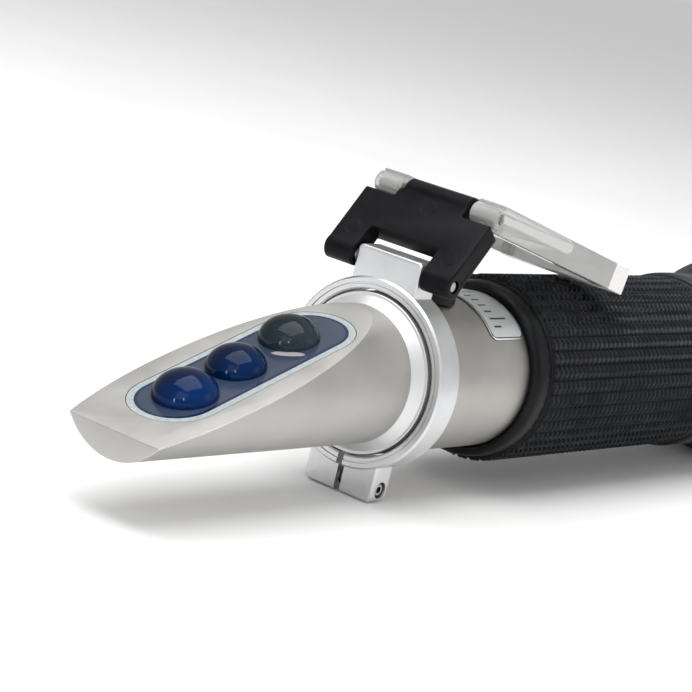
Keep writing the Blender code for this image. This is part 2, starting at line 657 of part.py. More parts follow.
cap_base = TUBE_RADIUS * math.cos(math.asin(CAP_RADIUS / TUBE_RADIUS)) - GAP
cap_upper = CAP_RADIUS - CAP_DRAFT
cap = turned(
    "calibration_cap", SCREW,
    outer=[(cap_base, CAP_RADIUS), (cap_top - CAP_TOP, cap_upper)]
    + list(reversed(arc((cap_top - CAP_TOP, cap_upper - CAP_TOP), CAP_TOP, 0, 75, 4))),
    finish=BLACK_RUBBER, rotation=(0, 0, 0), steps=32,
)
cut(
    cap,
    rod("cap_inside_cutter", SCREW, CAP_RADIUS - CAP_WALL, 0, cap_inside, rotation=(0, 0, 0),
        steps=32),
    rod("cap_saddle_cutter", AXIS, TUBE_RADIUS + GAP, -HEAD_LENGTH, TUBE_END, steps=FINE_STEPS),
)

# Lens carriage: boss and disc, compensating strip, lens cell, lens and its ring
CARRIAGE = pivot("lens_carriage_pivot", AXIS, (SCREW_X, 0, 0))
disc_start = CARRIER_DISC_START - SCREW_X
disc_end = disc_start + CARRIER_DISC_THICKNESS
foot_floor = -STRIP_DROP + GAP
carrier = turned(
    "lens_carrier", CARRIAGE,
    outer=[(disc_start, CARRIER_DISC_RADIUS), (disc_end, CARRIER_DISC_RADIUS)],
    inner=[(disc_start, CARRIER_WINDOW_RADIUS), (disc_end, CARRIER_WINDOW_RADIUS)],
    finish=BLACK_PLASTIC,
)
join(
    carrier,
    block("carrier_boss", CARRIAGE, (disc_end - GAP - BOSS_LENGTH, -BOSS_WIDTH / 2,
                                     BOSS_TOP - BOSS_HEIGHT),
          (disc_end - GAP, BOSS_WIDTH / 2, BOSS_TOP)),
    block("carrier_foot", CARRIAGE, (disc_start + GAP, -STRIP_WIDTH / 2, foot_floor),
          (disc_end + FOOT_LENGTH, STRIP_WIDTH / 2, foot_floor + FOOT_THICKNESS)),
)
cut(
    carrier,
    rod("boss_hole_cutter", CARRIAGE, SCREW_RADIUS + GAP, 0, 2 * BOSS_TOP, rotation=(0, 0, 0)),
    block("carrier_relief_cutter", CARRIAGE, (-TUBE_RADIUS, -TUBE_RADIUS, -2 * TUBE_RADIUS),
          (disc_end + GAP, TUBE_RADIUS, foot_floor)),
)
strip_start = disc_start + GAP
cell_start = strip_start + STRIP_LENGTH - FOOT_LENGTH
strip = block("bimetal_strip", CARRIAGE,
              (strip_start, -STRIP_WIDTH / 2, -STRIP_DROP - STRIP_THICKNESS),
              (strip_start + STRIP_LENGTH, STRIP_WIDTH / 2, -STRIP_DROP), BRASS)
cell = turned(
    "lens_cell", CARRIAGE,
    outer=[(cell_start, CELL_RADIUS), (cell_start + CELL_LENGTH, CELL_RADIUS)],
    inner=[(cell_start, LENS_RADIUS - CELL_LIP), (cell_start + CELL_LIP, LENS_RADIUS - CELL_LIP),
           (cell_start + CELL_LIP, LENS_RADIUS + GAP),
           (cell_start + CELL_LENGTH, LENS_RADIUS + GAP)],
    finish=BLACK_PLASTIC,
)
join(cell, block("cell_foot", CARRIAGE, (cell_start, -STRIP_WIDTH / 2, foot_floor),
                 (cell_start + CELL_LENGTH, STRIP_WIDTH / 2, foot_floor + FOOT_THICKNESS)))
front_rivet = disc_end + FOOT_LENGTH / 2
rear_rivet = cell_start + CELL_LENGTH / 2
rivet_low = -STRIP_DROP - STRIP_THICKNESS - GAP - RIVET_HEAD_HEIGHT
for rivet_name, rivet_x, holder in (("front_rivet", front_rivet, carrier),
                                    ("rear_rivet", rear_rivet, cell)):
    turned(
        rivet_name, CARRIAGE,
        outer=[(rivet_low, RIVET_HEAD_RADIUS), (rivet_low + RIVET_HEAD_HEIGHT, RIVET_HEAD_RADIUS),
               (rivet_low + RIVET_HEAD_HEIGHT, RIVET_RADIUS),
               (foot_floor + FOOT_THICKNESS / 2, RIVET_RADIUS)],
        finish=STEEL, location=(rivet_x, 0, 0), rotation=(0, 0, 0), steps=16,
    )
    for target in (holder, strip):
        cut(target, rod(rivet_name + "_" + target.name + "_cutter", CARRIAGE, RIVET_RADIUS + GAP / 2,
                        -TUBE_RADIUS, foot_floor + FOOT_THICKNESS / 2 + GAP / 2,
                        location=(rivet_x, 0, 0), rotation=(0, 0, 0), steps=16))


def lens_face(radius, bulge, at_radius):
    """How far a lens face stands out from its own rim at a smaller radius."""
    sphere = (radius**2 + bulge**2) / (2 * bulge)
    return math.sqrt(sphere**2 - at_radius**2) - math.sqrt(sphere**2 - radius**2)


def lens_outline(start, radius, thickness, bulge, steps=5):
    """Half section of a lens that bulges on both faces, edge thickness included in its thickness."""
    sphere = (radius**2 + bulge**2) / (2 * bulge)
    widest = math.degrees(math.asin(radius / sphere))
    front = arc((start + sphere, 0.0), sphere, 180, 180 - widest, steps)
    rear = arc((start + thickness - sphere, 0.0), sphere, widest, 0, steps)
    return front[1:] + rear[:-1]


def lens(name, parent, start, radius, thickness, bulge):
    outline = lens_outline(start, radius, thickness, bulge)
    points = [(start + thickness, 0.0)] + list(reversed(outline)) + [(start, 0.0)]
    mesh = bpy.data.meshes.new(name)
    mesh.from_pydata([(r, 0.0, along) for along, r in points],
                     [(i, i + 1) for i in range(len(points) - 1)], [])
    piece = place(name, mesh, parent, (0, 0, 0), ALONG_X, GLASS)
    screw = piece.modifiers.new("turn", "SCREW")
    screw.axis = "Z"
    screw.steps = INNER_STEPS
    screw.render_steps = INNER_STEPS
    screw.use_merge_vertices = True
    screw.merge_threshold = 1e-6
    return piece


ring_rise = lens_face(LENS_RADIUS, LENS_BULGE, LENS_RADIUS - CELL_LIP)
lens_start = cell_start + CELL_LIP + GAP + ring_rise - LENS_BULGE
lens("objective_lens", CARRIAGE, lens_start, LENS_RADIUS, LENS_THICKNESS, LENS_BULGE)
ring_start = lens_start + LENS_THICKNESS - LENS_BULGE + ring_rise + GAP
cell_ring_end = cell_start + CELL_LENGTH
turned(
    "lens_cell_ring", CARRIAGE,
    outer=[(ring_start, LENS_RADIUS), (cell_ring_end, LENS_RADIUS)],
    inner=[(ring_start, LENS_RADIUS - CELL_LIP), (cell_ring_end, LENS_RADIUS - CELL_LIP)],
    finish=BLACK_PLASTIC,
)

# Light baffle, scale glass, its holder and its ring, pressed into the tube
turned(
    "light_baffle", AXIS,
    outer=[(BAFFLE_START, INNER_FIT), (BAFFLE_START + BAFFLE_LENGTH, INNER_FIT)],
    inner=[(BAFFLE_START, BAFFLE_BORE), (BAFFLE_START + BAFFLE_LENGTH / 3, BAFFLE_BORE),
           (BAFFLE_START + BAFFLE_LENGTH / 3, INNER_FIT - TUBE_WALL),
           (BAFFLE_START + BAFFLE_LENGTH, INNER_FIT - TUBE_WALL)],
    finish=BLACK_PLASTIC,
)
scale_seat = HOLDER_START + HOLDER_LIP
holder_end = HOLDER_START + HOLDER_LENGTH
turned(
    "scale_holder", AXIS,
    outer=[(HOLDER_START, INNER_FIT), (holder_end, INNER_FIT)],
    inner=[(HOLDER_START, SCALE_WINDOW_RADIUS), (scale_seat, SCALE_WINDOW_RADIUS),
           (scale_seat, SCALE_RADIUS + GAP), (holder_end, SCALE_RADIUS + GAP)],
    finish=BLACK_PLASTIC,
)
scale_start = scale_seat + GAP
turned(
    "scale_glass", AXIS,
    outer=[(scale_start, SCALE_RADIUS), (scale_start + SCALE_THICKNESS, SCALE_RADIUS)],
    finish=GLASS,
)
scale_ring_start = scale_start + SCALE_THICKNESS + GAP
turned(
    "scale_ring", AXIS,
    outer=[(scale_ring_start, SCALE_RADIUS), (holder_end - GAP, SCALE_RADIUS)],
    inner=[(scale_ring_start, SCALE_WINDOW_RADIUS), (holder_end - GAP, SCALE_WINDOW_RADIUS)],
    finish=BLACK_PLASTIC,
)

# Label: a thin curved patch with round corners on top of the tube
label_outer = TUBE_RADIUS + THIN_GAP + LABEL_THICKNESS
label = turned(
    "label_plate", AXIS,
    outer=[(LABEL_START - MM, label_outer), (LABEL_START + LABEL_LENGTH + MM, label_outer)],
    inner=[(LABEL_START - MM, TUBE_RADIUS + THIN_GAP),
           (LABEL_START + LABEL_LENGTH + MM, TUBE_RADIUS + THIN_GAP)],
    finish=LABEL, steps=FINE_STEPS,
)
combine(label, extruded(
    "label_outline", AXIS,
    rounded_rectangle(LABEL_LENGTH / 2, TUBE_RADIUS * math.sin(LABEL_HALF_ANGLE), LABEL_CORNER, 4,
                      (LABEL_START + LABEL_LENGTH / 2, 0)),
    2 * TUBE_RADIUS, location=(0, 0, TUBE_RADIUS),
), "INTERSECT")

# Rubber grip over the tube, with a rounded nose at its front
nose_rise = GRIP_NOSE_RADIUS - RING_BORE
grip = turned(
    "rubber_grip", AXIS,
    outer=[(GRIP_START, RING_BORE + 0.3 * nose_rise), (GRIP_START + 0.25 * nose_rise,
                                                       RING_BORE + 0.6 * nose_rise),
           (GRIP_START + nose_rise, GRIP_NOSE_RADIUS), (GRIP_NOSE_END, GRIP_NOSE_RADIUS),
           (GRIP_NOSE_END + GRIP_EDGE, GRIP_RADIUS), (GRIP_END - GRIP_EDGE, GRIP_RADIUS),
           (GRIP_END, GRIP_RADIUS - GRIP_EDGE)],
    inner=[(GRIP_START, TUBE_RADIUS + GAP), (GRIP_END, TUBE_RADIUS + GAP)],
    finish=BLACK_RUBBER, steps=FINE_STEPS,
)

# Eyepiece: barrel in the tube, collar, core for the eyecup, and the lens chamber
FOCUS = pivot("focus_pivot", AXIS, (EYEPIECE_COLLAR_START, 0, 0))


def from_focus(outline):
    """The same outline, measured from the focus pivot."""
    return [(along - EYEPIECE_COLLAR_START, radius) for along, radius in outline]


groove_front = FOCUS_GROOVE_X - GROOVE_WIDTH / 2
groove_rear = FOCUS_GROOVE_X + GROOVE_WIDTH / 2
chamber_radius = EYE_LENS_RADIUS + GAP
turned(
    "eyepiece_housing", FOCUS,
    outer=from_focus([
        (BARREL_START, INNER_FIT), (groove_front, INNER_FIT),
        (groove_front, INNER_FIT - GROOVE_DEPTH), (groove_rear, INNER_FIT - GROOVE_DEPTH),
        (groove_rear, INNER_FIT), (EYEPIECE_COLLAR_START, INNER_FIT),
        (EYEPIECE_COLLAR_START, EYEPIECE_COLLAR_RADIUS - EYEPIECE_CHAMFER),
        (EYEPIECE_COLLAR_START + EYEPIECE_CHAMFER, EYEPIECE_COLLAR_RADIUS),
        (EYEPIECE_COLLAR_END, EYEPIECE_COLLAR_RADIUS), (EYEPIECE_COLLAR_END, EYEPIECE_CORE_RADIUS),
        (EYEPIECE_CORE_END, EYEPIECE_CORE_RADIUS)]),
    inner=from_focus([
        (BARREL_START, EYEPIECE_BORE_RADIUS), (LENS_CHAMBER_START, EYEPIECE_BORE_RADIUS),
        (LENS_CHAMBER_START, chamber_radius), (EYEPIECE_CORE_END, chamber_radius)]),
    finish=BLACK_PLASTIC, steps=FINE_STEPS,
)
sealing_ring("focus_o_ring", FOCUS, FOCUS_GROOVE_X - EYEPIECE_COLLAR_START)
stop_start = BARREL_START + GAP
turned(
    "field_stop", FOCUS,
    outer=from_focus([(stop_start, EYEPIECE_BORE_RADIUS - GAP),
                      (stop_start + STOP_LENGTH, EYEPIECE_BORE_RADIUS - GAP)]),
    inner=from_focus([(stop_start, STOP_BORE), (stop_start + STOP_LENGTH, STOP_BORE)]),
    finish=BLACK_PLASTIC,
)
spacer_bore = EYE_LENS_RADIUS - SPACER_WALL
spacer_rise = lens_face(EYE_LENS_RADIUS, EYE_LENS_BULGE, spacer_bore)
front_rise = lens_face(EYE_LENS_RADIUS, EYE_LENS_BULGE, EYEPIECE_BORE_RADIUS)
rear_rise = lens_face(EYE_LENS_RADIUS, EYE_LENS_BULGE, RETAINER_BORE)
front_lens_start = (LENS_CHAMBER_START - EYEPIECE_COLLAR_START + GAP + front_rise
                    - EYE_LENS_BULGE)
lens("eye_lens_front", FOCUS, front_lens_start, EYE_LENS_RADIUS, EYE_LENS_THICKNESS, EYE_LENS_BULGE)
spacer_start = front_lens_start + EYE_LENS_THICKNESS - EYE_LENS_BULGE + spacer_rise + GAP
spacer_end = spacer_start + SPACER_LENGTH
turned(
    "lens_spacer", FOCUS,
    outer=[(spacer_start, EYE_LENS_RADIUS), (spacer_end, EYE_LENS_RADIUS)],
    inner=[(spacer_start, spacer_bore), (spacer_end, spacer_bore)],
    finish=BLACK_PLASTIC,
)
rear_lens_start = spacer_end + GAP + spacer_rise - EYE_LENS_BULGE
lens("eye_lens_rear", FOCUS, rear_lens_start, EYE_LENS_RADIUS, EYE_LENS_THICKNESS, EYE_LENS_BULGE)
retainer_start = rear_lens_start + EYE_LENS_THICKNESS - EYE_LENS_BULGE + rear_rise + GAP
turned(
    "eyepiece_ring", FOCUS,
    outer=[(retainer_start, EYE_LENS_RADIUS), (retainer_start + RETAINER_LENGTH, EYE_LENS_RADIUS)],
    inner=[(retainer_start, RETAINER_BORE),
           (retainer_start + RETAINER_LENGTH, RETAINER_BORE + RETAINER_FLARE)],
    finish=BLACK_PLASTIC,
)

# Eyecup: a flared rubber cup pushed over the eyepiece core
flare_end = EYECUP_START + EYECUP_FLARE_LENGTH
core_bore = EYEPIECE_CORE_RADIUS + GAP
cup_floor = EYEPIECE_CORE_END + GAP
cup_lip_end = cup_floor + EYECUP_LIP_LENGTH
band_end = flare_end + EYECUP_BAND
rim_bore = EYECUP_RIM_RADIUS - EYECUP_WALL
turned(
    "eyecup", FOCUS,
    outer=from_focus([
        (EYECUP_START, EYECUP_START_RADIUS),
        (EYECUP_START + EYECUP_FLARE_LENGTH / 2, (EYECUP_START_RADIUS + core_bore
                                                  + REST_HEIGHT) / 3 + EYECUP_ROUND / 2),
        (flare_end - EYECUP_ROUND, REST_HEIGHT - EYECUP_ROUND / 4), (flare_end, REST_HEIGHT),
        (band_end, REST_HEIGHT), (band_end + EYECUP_ROUND, REST_HEIGHT - EYECUP_ROUND / 4),
        (EYECUP_END - EYECUP_ROUND, EYECUP_RIM_RADIUS),
        (EYECUP_END, EYECUP_RIM_RADIUS - EYECUP_ROUND / 2)]),
    inner=from_focus([
        (EYECUP_START, core_bore), (cup_floor, core_bore), (cup_floor, EYECUP_LIP_RADIUS),
        (cup_lip_end, EYECUP_LIP_RADIUS),
        (cup_lip_end + EYECUP_DISH_START, 0.6 * EYECUP_LIP_RADIUS + 0.4 * rim_bore),
        (cup_lip_end + EYECUP_DISH_MIDDLE, 0.2 * EYECUP_LIP_RADIUS + 0.8 * rim_bore),
        (EYECUP_END, rim_bore)]),
    finish=BLACK_RUBBER, steps=FINE_STEPS,
)

for piece in parts.objects:
    if piece.type == "MESH":
        piece.data.set_sharp_from_angle(angle=math.radians(35))
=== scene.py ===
"""A hand-held refractometer lying on a pale table, cover plate open, three drops on its prism."""
import json
import math

import bmesh
import bpy
import numpy as np
from mathutils import Matrix, Vector


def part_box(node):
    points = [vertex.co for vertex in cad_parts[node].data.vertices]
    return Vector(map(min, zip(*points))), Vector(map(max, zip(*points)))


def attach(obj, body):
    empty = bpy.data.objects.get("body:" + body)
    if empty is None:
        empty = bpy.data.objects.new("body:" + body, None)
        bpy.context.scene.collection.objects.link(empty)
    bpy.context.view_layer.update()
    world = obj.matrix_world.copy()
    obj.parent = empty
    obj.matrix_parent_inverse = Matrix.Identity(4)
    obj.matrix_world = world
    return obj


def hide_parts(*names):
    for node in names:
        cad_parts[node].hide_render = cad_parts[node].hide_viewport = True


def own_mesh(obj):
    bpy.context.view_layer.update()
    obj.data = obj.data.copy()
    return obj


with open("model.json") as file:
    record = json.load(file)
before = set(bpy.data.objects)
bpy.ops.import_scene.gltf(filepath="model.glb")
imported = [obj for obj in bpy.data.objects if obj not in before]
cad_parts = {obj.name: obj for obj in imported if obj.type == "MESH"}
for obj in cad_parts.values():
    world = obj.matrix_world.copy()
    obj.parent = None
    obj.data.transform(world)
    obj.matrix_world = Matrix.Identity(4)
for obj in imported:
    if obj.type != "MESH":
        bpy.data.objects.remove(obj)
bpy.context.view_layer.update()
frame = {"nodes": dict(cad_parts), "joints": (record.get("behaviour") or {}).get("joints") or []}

# ---- Prism head ----
# One aluminium bar, turned, then milled at a slant along its top and bead blasted to a satin
# grey. Its rear shoulder seats against the tube; the measuring glass is let into the slant.
MM = 0.001
HEAD_LENGTH = 53
HEAD_RADIUS = 10.45
TIP_DROP = 6.4
SLANT = math.radians(18.9)
ring_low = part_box("clamp_ring")[0]
tube_low, tube_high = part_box("body_tube")
# The optical axis starts at the clamp ring's front face, and the slope at the head's tip.
OPTICAL = Matrix.Translation((ring_low.x, 0, (tube_low.z + tube_high.z) / 2))
TIP = Vector((-HEAD_LENGTH, 0, -TIP_DROP)) * MM
SLOPE = OPTICAL @ Matrix.Translation(TIP) @ Matrix.Rotation(-SLANT, 4, "Y")


def turned(name, outline, at=OPTICAL, steps=128):
    """Turns an outline of (distance along the axis, radius), in millimetres, about the X axis."""
    shape = bmesh.new()
    points = [shape.verts.new((x * MM, 0, r * MM)) for x, r in outline]
    pairs = list(zip(points, points[1:] + points[:1]))
    if outline[0][1] == 0 and outline[-1][1] == 0:
        pairs.pop()
    lines = [shape.edges.new(pair) for pair in pairs]
    bmesh.ops.spin(shape, geom=points + lines, cent=(0, 0, 0), axis=(1, 0, 0), dvec=(0, 0, 0),
                   angle=2 * math.pi, steps=steps, use_merge=True)
    bmesh.ops.remove_doubles(shape, verts=shape.verts, dist=1e-7)
    return as_piece(name, shape, at)


def prism_shape(name, outline, low, high, at):
    """Stands an outline of (x, y), in millimetres, from one height to another."""
    shape = bmesh.new()
    face = shape.faces.new([shape.verts.new((x * MM, y * MM, low * MM)) for x, y in outline])
    risen = bmesh.ops.extrude_face_region(shape, geom=[face])
    upper = [v for v in risen["geom"] if isinstance(v, bmesh.types.BMVert)]
    bmesh.ops.translate(shape, verts=upper, vec=(0, 0, (high - low) * MM))
    return as_piece(name, shape, at)


def as_piece(name, shape, at):
    bmesh.ops.recalc_face_normals(shape, faces=shape.faces)
    mesh = bpy.data.meshes.new(name)
    shape.to_mesh(mesh)
    shape.free()
    mesh.transform(at)
    made = bpy.data.objects.new(name, mesh)
    bpy.context.scene.collection.objects.link(made)
    return made


def settle(made, crease=28):
    """Applies the modifiers, and shades the piece smooth up to its creases."""
    graph = bpy.context.evaluated_depsgraph_get()
    mesh = bpy.data.meshes.new_from_object(made.evaluated_get(graph))
    made.modifiers.clear()
    made.data = mesh
    mesh.shade_smooth()
    mesh.set_sharp_from_angle(angle=math.radians(crease))
    return made


def joined(made, other, operation="UNION"):
    boolean = made.modifiers.new(other.name, "BOOLEAN")
    boolean.operation = operation
    boolean.object = other
    boolean.solver = "EXACT"
    settle(made)
    bpy.data.objects.remove(other)
    return made


def carved(made, *cutters):
    for cutter in cutters:
        joined(made, cutter, "DIFFERENCE")
    return made


def softened(made, width, segments=3, angle=30):
    """Rounds every edge sharper than an angle by a width in millimetres."""
    bevel = made.modifiers.new("rounding", "BEVEL")
    bevel.width = width * MM
    bevel.segments = segments
    bevel.limit_method = "ANGLE"
    bevel.angle_limit = math.radians(angle)
    bevel.use_clamp_overlap = True
    return settle(made, 50)


def rounded(half_x, half_y, radius, middle=(0, 0), steps=12):
    """Corners of a rectangle with round corners, or of a round-ended slot, in millimetres."""
    points = []
    for quarter, (sx, sy) in enumerate(((1, 1), (-1, 1), (-1, -1), (1, -1))):
        for step in range(steps + 1):
            turn = (quarter + step / steps) * math.pi / 2
            point = (middle[0] + sx * (half_x - radius) + radius * math.cos(turn),
                     middle[1] + sy * (half_y - radius) + radius * math.sin(turn))
            if not points or math.dist(points[-1], point) > 1e-4:
                points.append(point)
    return points[:-1] if math.dist(points[0], points[-1]) < 1e-4 else points


def new_finish(name, colour, roughness, metallic=0.0):
    """A material and its node tree, with one colour and roughness to start from."""
    finish = bpy.data.materials.new(name)
    finish.use_nodes = True
    tree = finish.node_tree
    tree.nodes["Principled BSDF"].inputs["Base Color"].default_value = (*colour, 1)
    tree.nodes["Principled BSDF"].inputs["Roughness"].default_value = roughness
    tree.nodes["Principled BSDF"].inputs["Metallic"].default_value = metallic
    return finish


def plug(tree, value, socket):
    if isinstance(value, bpy.types.NodeSocket):
        tree.links.new(value, socket)
    else:
        socket.default_value = value


def maths(tree, operation, *values):
    made = tree.nodes.new("ShaderNodeMath")
    made.operation = operation
    for socket, value in zip(made.inputs, values):
        plug(tree, value, socket)
    return made.outputs[0]


def times(tree, one, other):
    return maths(tree, "MULTIPLY", one, other)


def place_of(tree, at=None):
    """The point being shaded in metres, from the object's origin or in another frame."""
    point = tree.nodes.new("ShaderNodeTexCoord").outputs["Object"]
    if at is None:
        return point
    back = at.inverted()
    mapping = tree.nodes.new("ShaderNodeMapping")
    mapping.inputs["Location"].default_value = back.translation
    mapping.inputs["Rotation"].default_value = back.to_euler()
    tree.links.new(point, mapping.inputs["Vector"])
    return mapping.outputs[0]


def split(tree, vector):
    made = tree.nodes.new("ShaderNodeSeparateXYZ")
    tree.links.new(vector, made.inputs[0])
    return made.outputs


def grain(tree, size, detail=3.0, place=None, roughness=0.55):
    """Noise whose spots are about a size in millimetres."""
    made = tree.nodes.new("ShaderNodeTexNoise")
    made.inputs["Scale"].default_value = 1 / (size * MM)
    made.inputs["Detail"].default_value = detail
    made.inputs["Roughness"].default_value = roughness
    tree.links.new(place or place_of(tree), made.inputs["Vector"])
    return made.outputs[0]


def between(tree, value, low, high, out_low=0.0, out_high=1.0, smooth=False):
    made = tree.nodes.new("ShaderNodeMapRange")
    made.interpolation_type = "SMOOTHSTEP" if smooth else "LINEAR"
    for name, number in (("Value", value), ("From Min", low), ("From Max", high),
                         ("To Min", out_low), ("To Max", out_high)):
        plug(tree, number, made.inputs[name])
    return made.outputs[0]


def blend_colour(tree, share, first, second):
    made = tree.nodes.new("ShaderNodeMix")
    made.data_type = "RGBA"
    plug(tree, share, made.inputs["Factor"])
    sockets = [s for s in made.inputs if s.type == "RGBA"]
    for value, socket in zip((first, second), sockets):
        plug(tree, value if isinstance(value, bpy.types.NodeSocket) else (*value, 1), socket)
    return [s for s in made.outputs if s.type == "RGBA"][0]


def relief(tree, height, depth, below=None):
    """Bump from a height between 0 and 1, with its depth in millimetres."""
    made = tree.nodes.new("ShaderNodeBump")
    made.inputs["Strength"].default_value = 1.0
    made.inputs["Distance"].default_value = depth * MM
    tree.links.new(height, made.inputs["Height"])
    if below is not None:
        tree.links.new(below, made.inputs["Normal"])
    return made.outputs[0]


def edges_of(tree, width):
    """1 along edges within a width in millimetres, 0 on open faces."""
    eased = tree.nodes.new("ShaderNodeBevel")
    eased.samples = 4
    eased.inputs["Radius"].default_value = width * MM
    plain = tree.nodes.new("ShaderNodeNewGeometry")
    dot = tree.nodes.new("ShaderNodeVectorMath")
    dot.operation = "DOT_PRODUCT"
    tree.links.new(eased.outputs[0], dot.inputs[0])
    tree.links.new(plain.outputs["Normal"], dot.inputs[1])
    return between(tree, dot.outputs["Value"], 0.99, 0.86)


def feed(tree, **sockets):
    shader = tree.nodes["Principled BSDF"]
    for name, value in sockets.items():
        plug(tree, value, shader.inputs[name.replace("_", " ")])


def satin_metal(name, colour, pale, roughness, lines=0.0, turned_from=None):
    """Blasted aluminium: fine pits, faint smears, and edges rubbed a little brighter.

    From a distance along the axis on, in millimetres, it can be left as turned, which is brighter.
    """
    finish = new_finish(name, colour, roughness, 1.0)
    tree = finish.node_tree
    pits = grain(tree, 0.16, 2.0)
    smears = grain(tree, 9.0, 4.0)
    rubbed = times(tree, edges_of(tree, 0.35), between(tree, pits, 0.3, 0.6))
    toned = blend_colour(tree, between(tree, smears, 0.35, 0.68), colour, pale)
    if turned_from is not None:
        along = split(tree, place_of(tree, OPTICAL))[0]
        as_turned = between(tree, along, (turned_from - 0.05) * MM, (turned_from + 0.05) * MM)
        toned = blend_colour(tree, as_turned, toned, (0.74, 0.745, 0.75))
    smeared = between(tree, smears, 0.3, 0.7, roughness - 0.04, roughness + 0.06)
    feed(tree,
         Base_Color=blend_colour(tree, rubbed, toned, tuple(min(1, c * 1.3) for c in pale)),
         Roughness=maths(tree, "SUBTRACT", smeared, times(tree, rubbed, 0.12)))
    bump = relief(tree, pits, 0.012)
    if lines:
        turn = times(tree, split(tree, place_of(tree))[0], 1 / (lines * MM))
        turning = maths(tree, "SINE", times(tree, turn, 2 * math.pi))
        bump = relief(tree, between(tree, turning, -1, 1), 0.004, bump)
    feed(tree, Normal=bump)
    return finish


def ready(made, finish, body, slot, *replaced):
    """Gives a piece its finish and its CAD body; the slot is not used."""
    made.data.materials.clear()
    made.data.materials.append(finish)
    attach(made, body)
    if replaced:
        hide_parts(*replaced)
    return made


SATIN = satin_metal("satin_aluminium", (0.45, 0.44, 0.425), (0.50, 0.49, 0.47), 0.5,
                    turned_from=-1.85)
head = turned("head_of_satin_aluminium", [
    (-HEAD_LENGTH, 0), (-HEAD_LENGTH, HEAD_RADIUS), (0.4, HEAD_RADIUS), (0.4, 0)])
above_slope = [(-20, -15), (90, -15), (90, 15), (-20, 15)]
carved(head, prism_shape("slant_cutter", above_slope, 0, 40, SLOPE))
softened(head, 0.55, segments=4, angle=12)
joined(head, turned("shoulder", [
    (-1.9, 0), (-1.9, 10.38), (-0.36, 11.58), (-0.22, 11.72), (-0.2, 11.8), (-0.2, 12.1),
    (-0.12, 12.18), (0.9, 12.2), (0.9, 11.0), (7.0, 11.0), (7.0, 0)]))
GLASS_START = 6.4
GLASS_LENGTH = 39.2
GLASS_RADIUS = 5.75
CEMENT = 0.95
FIT = 0.12
GLASS_MIDDLE = GLASS_START + GLASS_LENGTH / 2
GLASS_STRAIGHT = GLASS_LENGTH / 2 - GLASS_RADIUS


def long_slot(name, radius, low, high):
    """A round-ended bar with the same middle as the glass."""
    ends = rounded(GLASS_STRAIGHT + radius, radius, radius, (GLASS_MIDDLE, 0), 20)
    return prism_shape(name, ends, low, high, SLOPE)


carved(head, long_slot("seat_cutter", GLASS_RADIUS + FIT + CEMENT + FIT, -1.4, 5))
ready(head, SATIN, "root", "satin_aluminium", "prism_head")


# ---- Measuring prism ----
# A long round-ended face of slate-blue optical glass, ground and polished, with a dark blue
# line of blacking just inside its rim. It is cemented into the head.
def distance(tree, one, other):
    """Length of the slanting side of a right angle with two given sides."""
    return maths(tree, "SQRT", maths(tree, "ADD", times(tree, one, one), times(tree, other, other)))


def glass_rim(tree):
    """Distance from the long middle line of the glass, in millimetres."""
    middle = SLOPE @ Matrix.Translation((GLASS_MIDDLE * MM, 0, 0))
    along, across, _ = split(tree, place_of(tree, middle))
    beyond = maths(tree, "SUBTRACT", maths(tree, "ABSOLUTE", along), GLASS_STRAIGHT * MM)
    return times(tree, distance(tree, maths(tree, "MAXIMUM", beyond, 0.0), across), 1 / MM)


def refinished(node_name, finish):
    """Gives a CAD piece that is shown as it is the finish of the real one."""
    materials = frame["nodes"][node_name].data.materials
    materials.clear()
    materials.append(finish)


SLATE = new_finish("slate_glass", (0.035, 0.052, 0.1), 0.07)
tree = SLATE.node_tree
depth_tone = blend_colour(tree, between(tree, grain(tree, 14, 2.0), 0.35, 0.65),
                          (0.026, 0.04, 0.072), (0.038, 0.054, 0.092))
lined = between(tree, glass_rim(tree), 5.2, 5.42, smooth=True)
# A pale streak of painted light on the glass beside the clear drop, where that drop would gather light.
STREAK_MIDDLE = Vector((32.7, -2.3, 0)) * MM
STREAK_TURN = math.radians(-55)
STREAK_HALF_LENGTH = 2.5
STREAK_HALF_WIDTH = 0.75
streak_at = SLOPE @ Matrix.Translation(STREAK_MIDDLE) @ Matrix.Rotation(STREAK_TURN, 4, "Z")
along, across, _ = split(tree, place_of(tree, streak_at))
wavering = maths(tree, "ADD", across, times(tree, grain(tree, 0.9, 2.0), 0.3 * MM))
lengthwise = maths(tree, "POWER", times(tree, along, 1 / (STREAK_HALF_LENGTH * MM)), 2.0)
sideways = maths(tree, "POWER", times(tree, wavering, 1 / (STREAK_HALF_WIDTH * MM)), 2.0)
painted_streak = between(tree, maths(tree, "ADD", lengthwise, sideways), 1.05, 0.75, smooth=True)
lit_tone = blend_colour(tree, painted_streak, depth_tone, (0.36, 0.32, 0.335))
feed(tree, Base_Color=blend_colour(tree, lined, lit_tone, (0.004, 0.012, 0.06)),
     Roughness=between(tree, grain(tree, 2.5, 4.0), 0.3, 0.7, 0.05, 0.12),
     Normal=relief(tree, grain(tree, 6.0, 1.0), 0.002))
feed(tree, IOR=1.5, Specular_IOR_Level=0.4)
refinished("prism", SLATE)

# ---- Seal ----
# A band of pale cement that fills the gap between the glass and its seat all the way round. It
# was wiped level with the slant while soft, and keeps a faint roughness from the cloth.
PALE = new_finish("pale_cement", (0.6, 0.67, 0.64), 0.5)
tree = PALE.node_tree
wiped = grain(tree, 0.6, 4.0)
feed(tree, Base_Color=blend_colour(tree, between(tree, wiped, 0.35, 0.7), (0.31, 0.36, 0.365),
                                   (0.42, 0.47, 0.47)),
     Roughness=between(tree, wiped, 0.3, 0.7, 0.38, 0.6), Normal=relief(tree, wiped, 0.03))
seal = long_slot("seal_band", GLASS_RADIUS + FIT + CEMENT, -1.1, -0.02)
ready(seal, PALE, "root", "pale_seal", "prism_seal")
carved(seal, long_slot("glass_cutter", GLASS_RADIUS + 0.05, -2, 1))
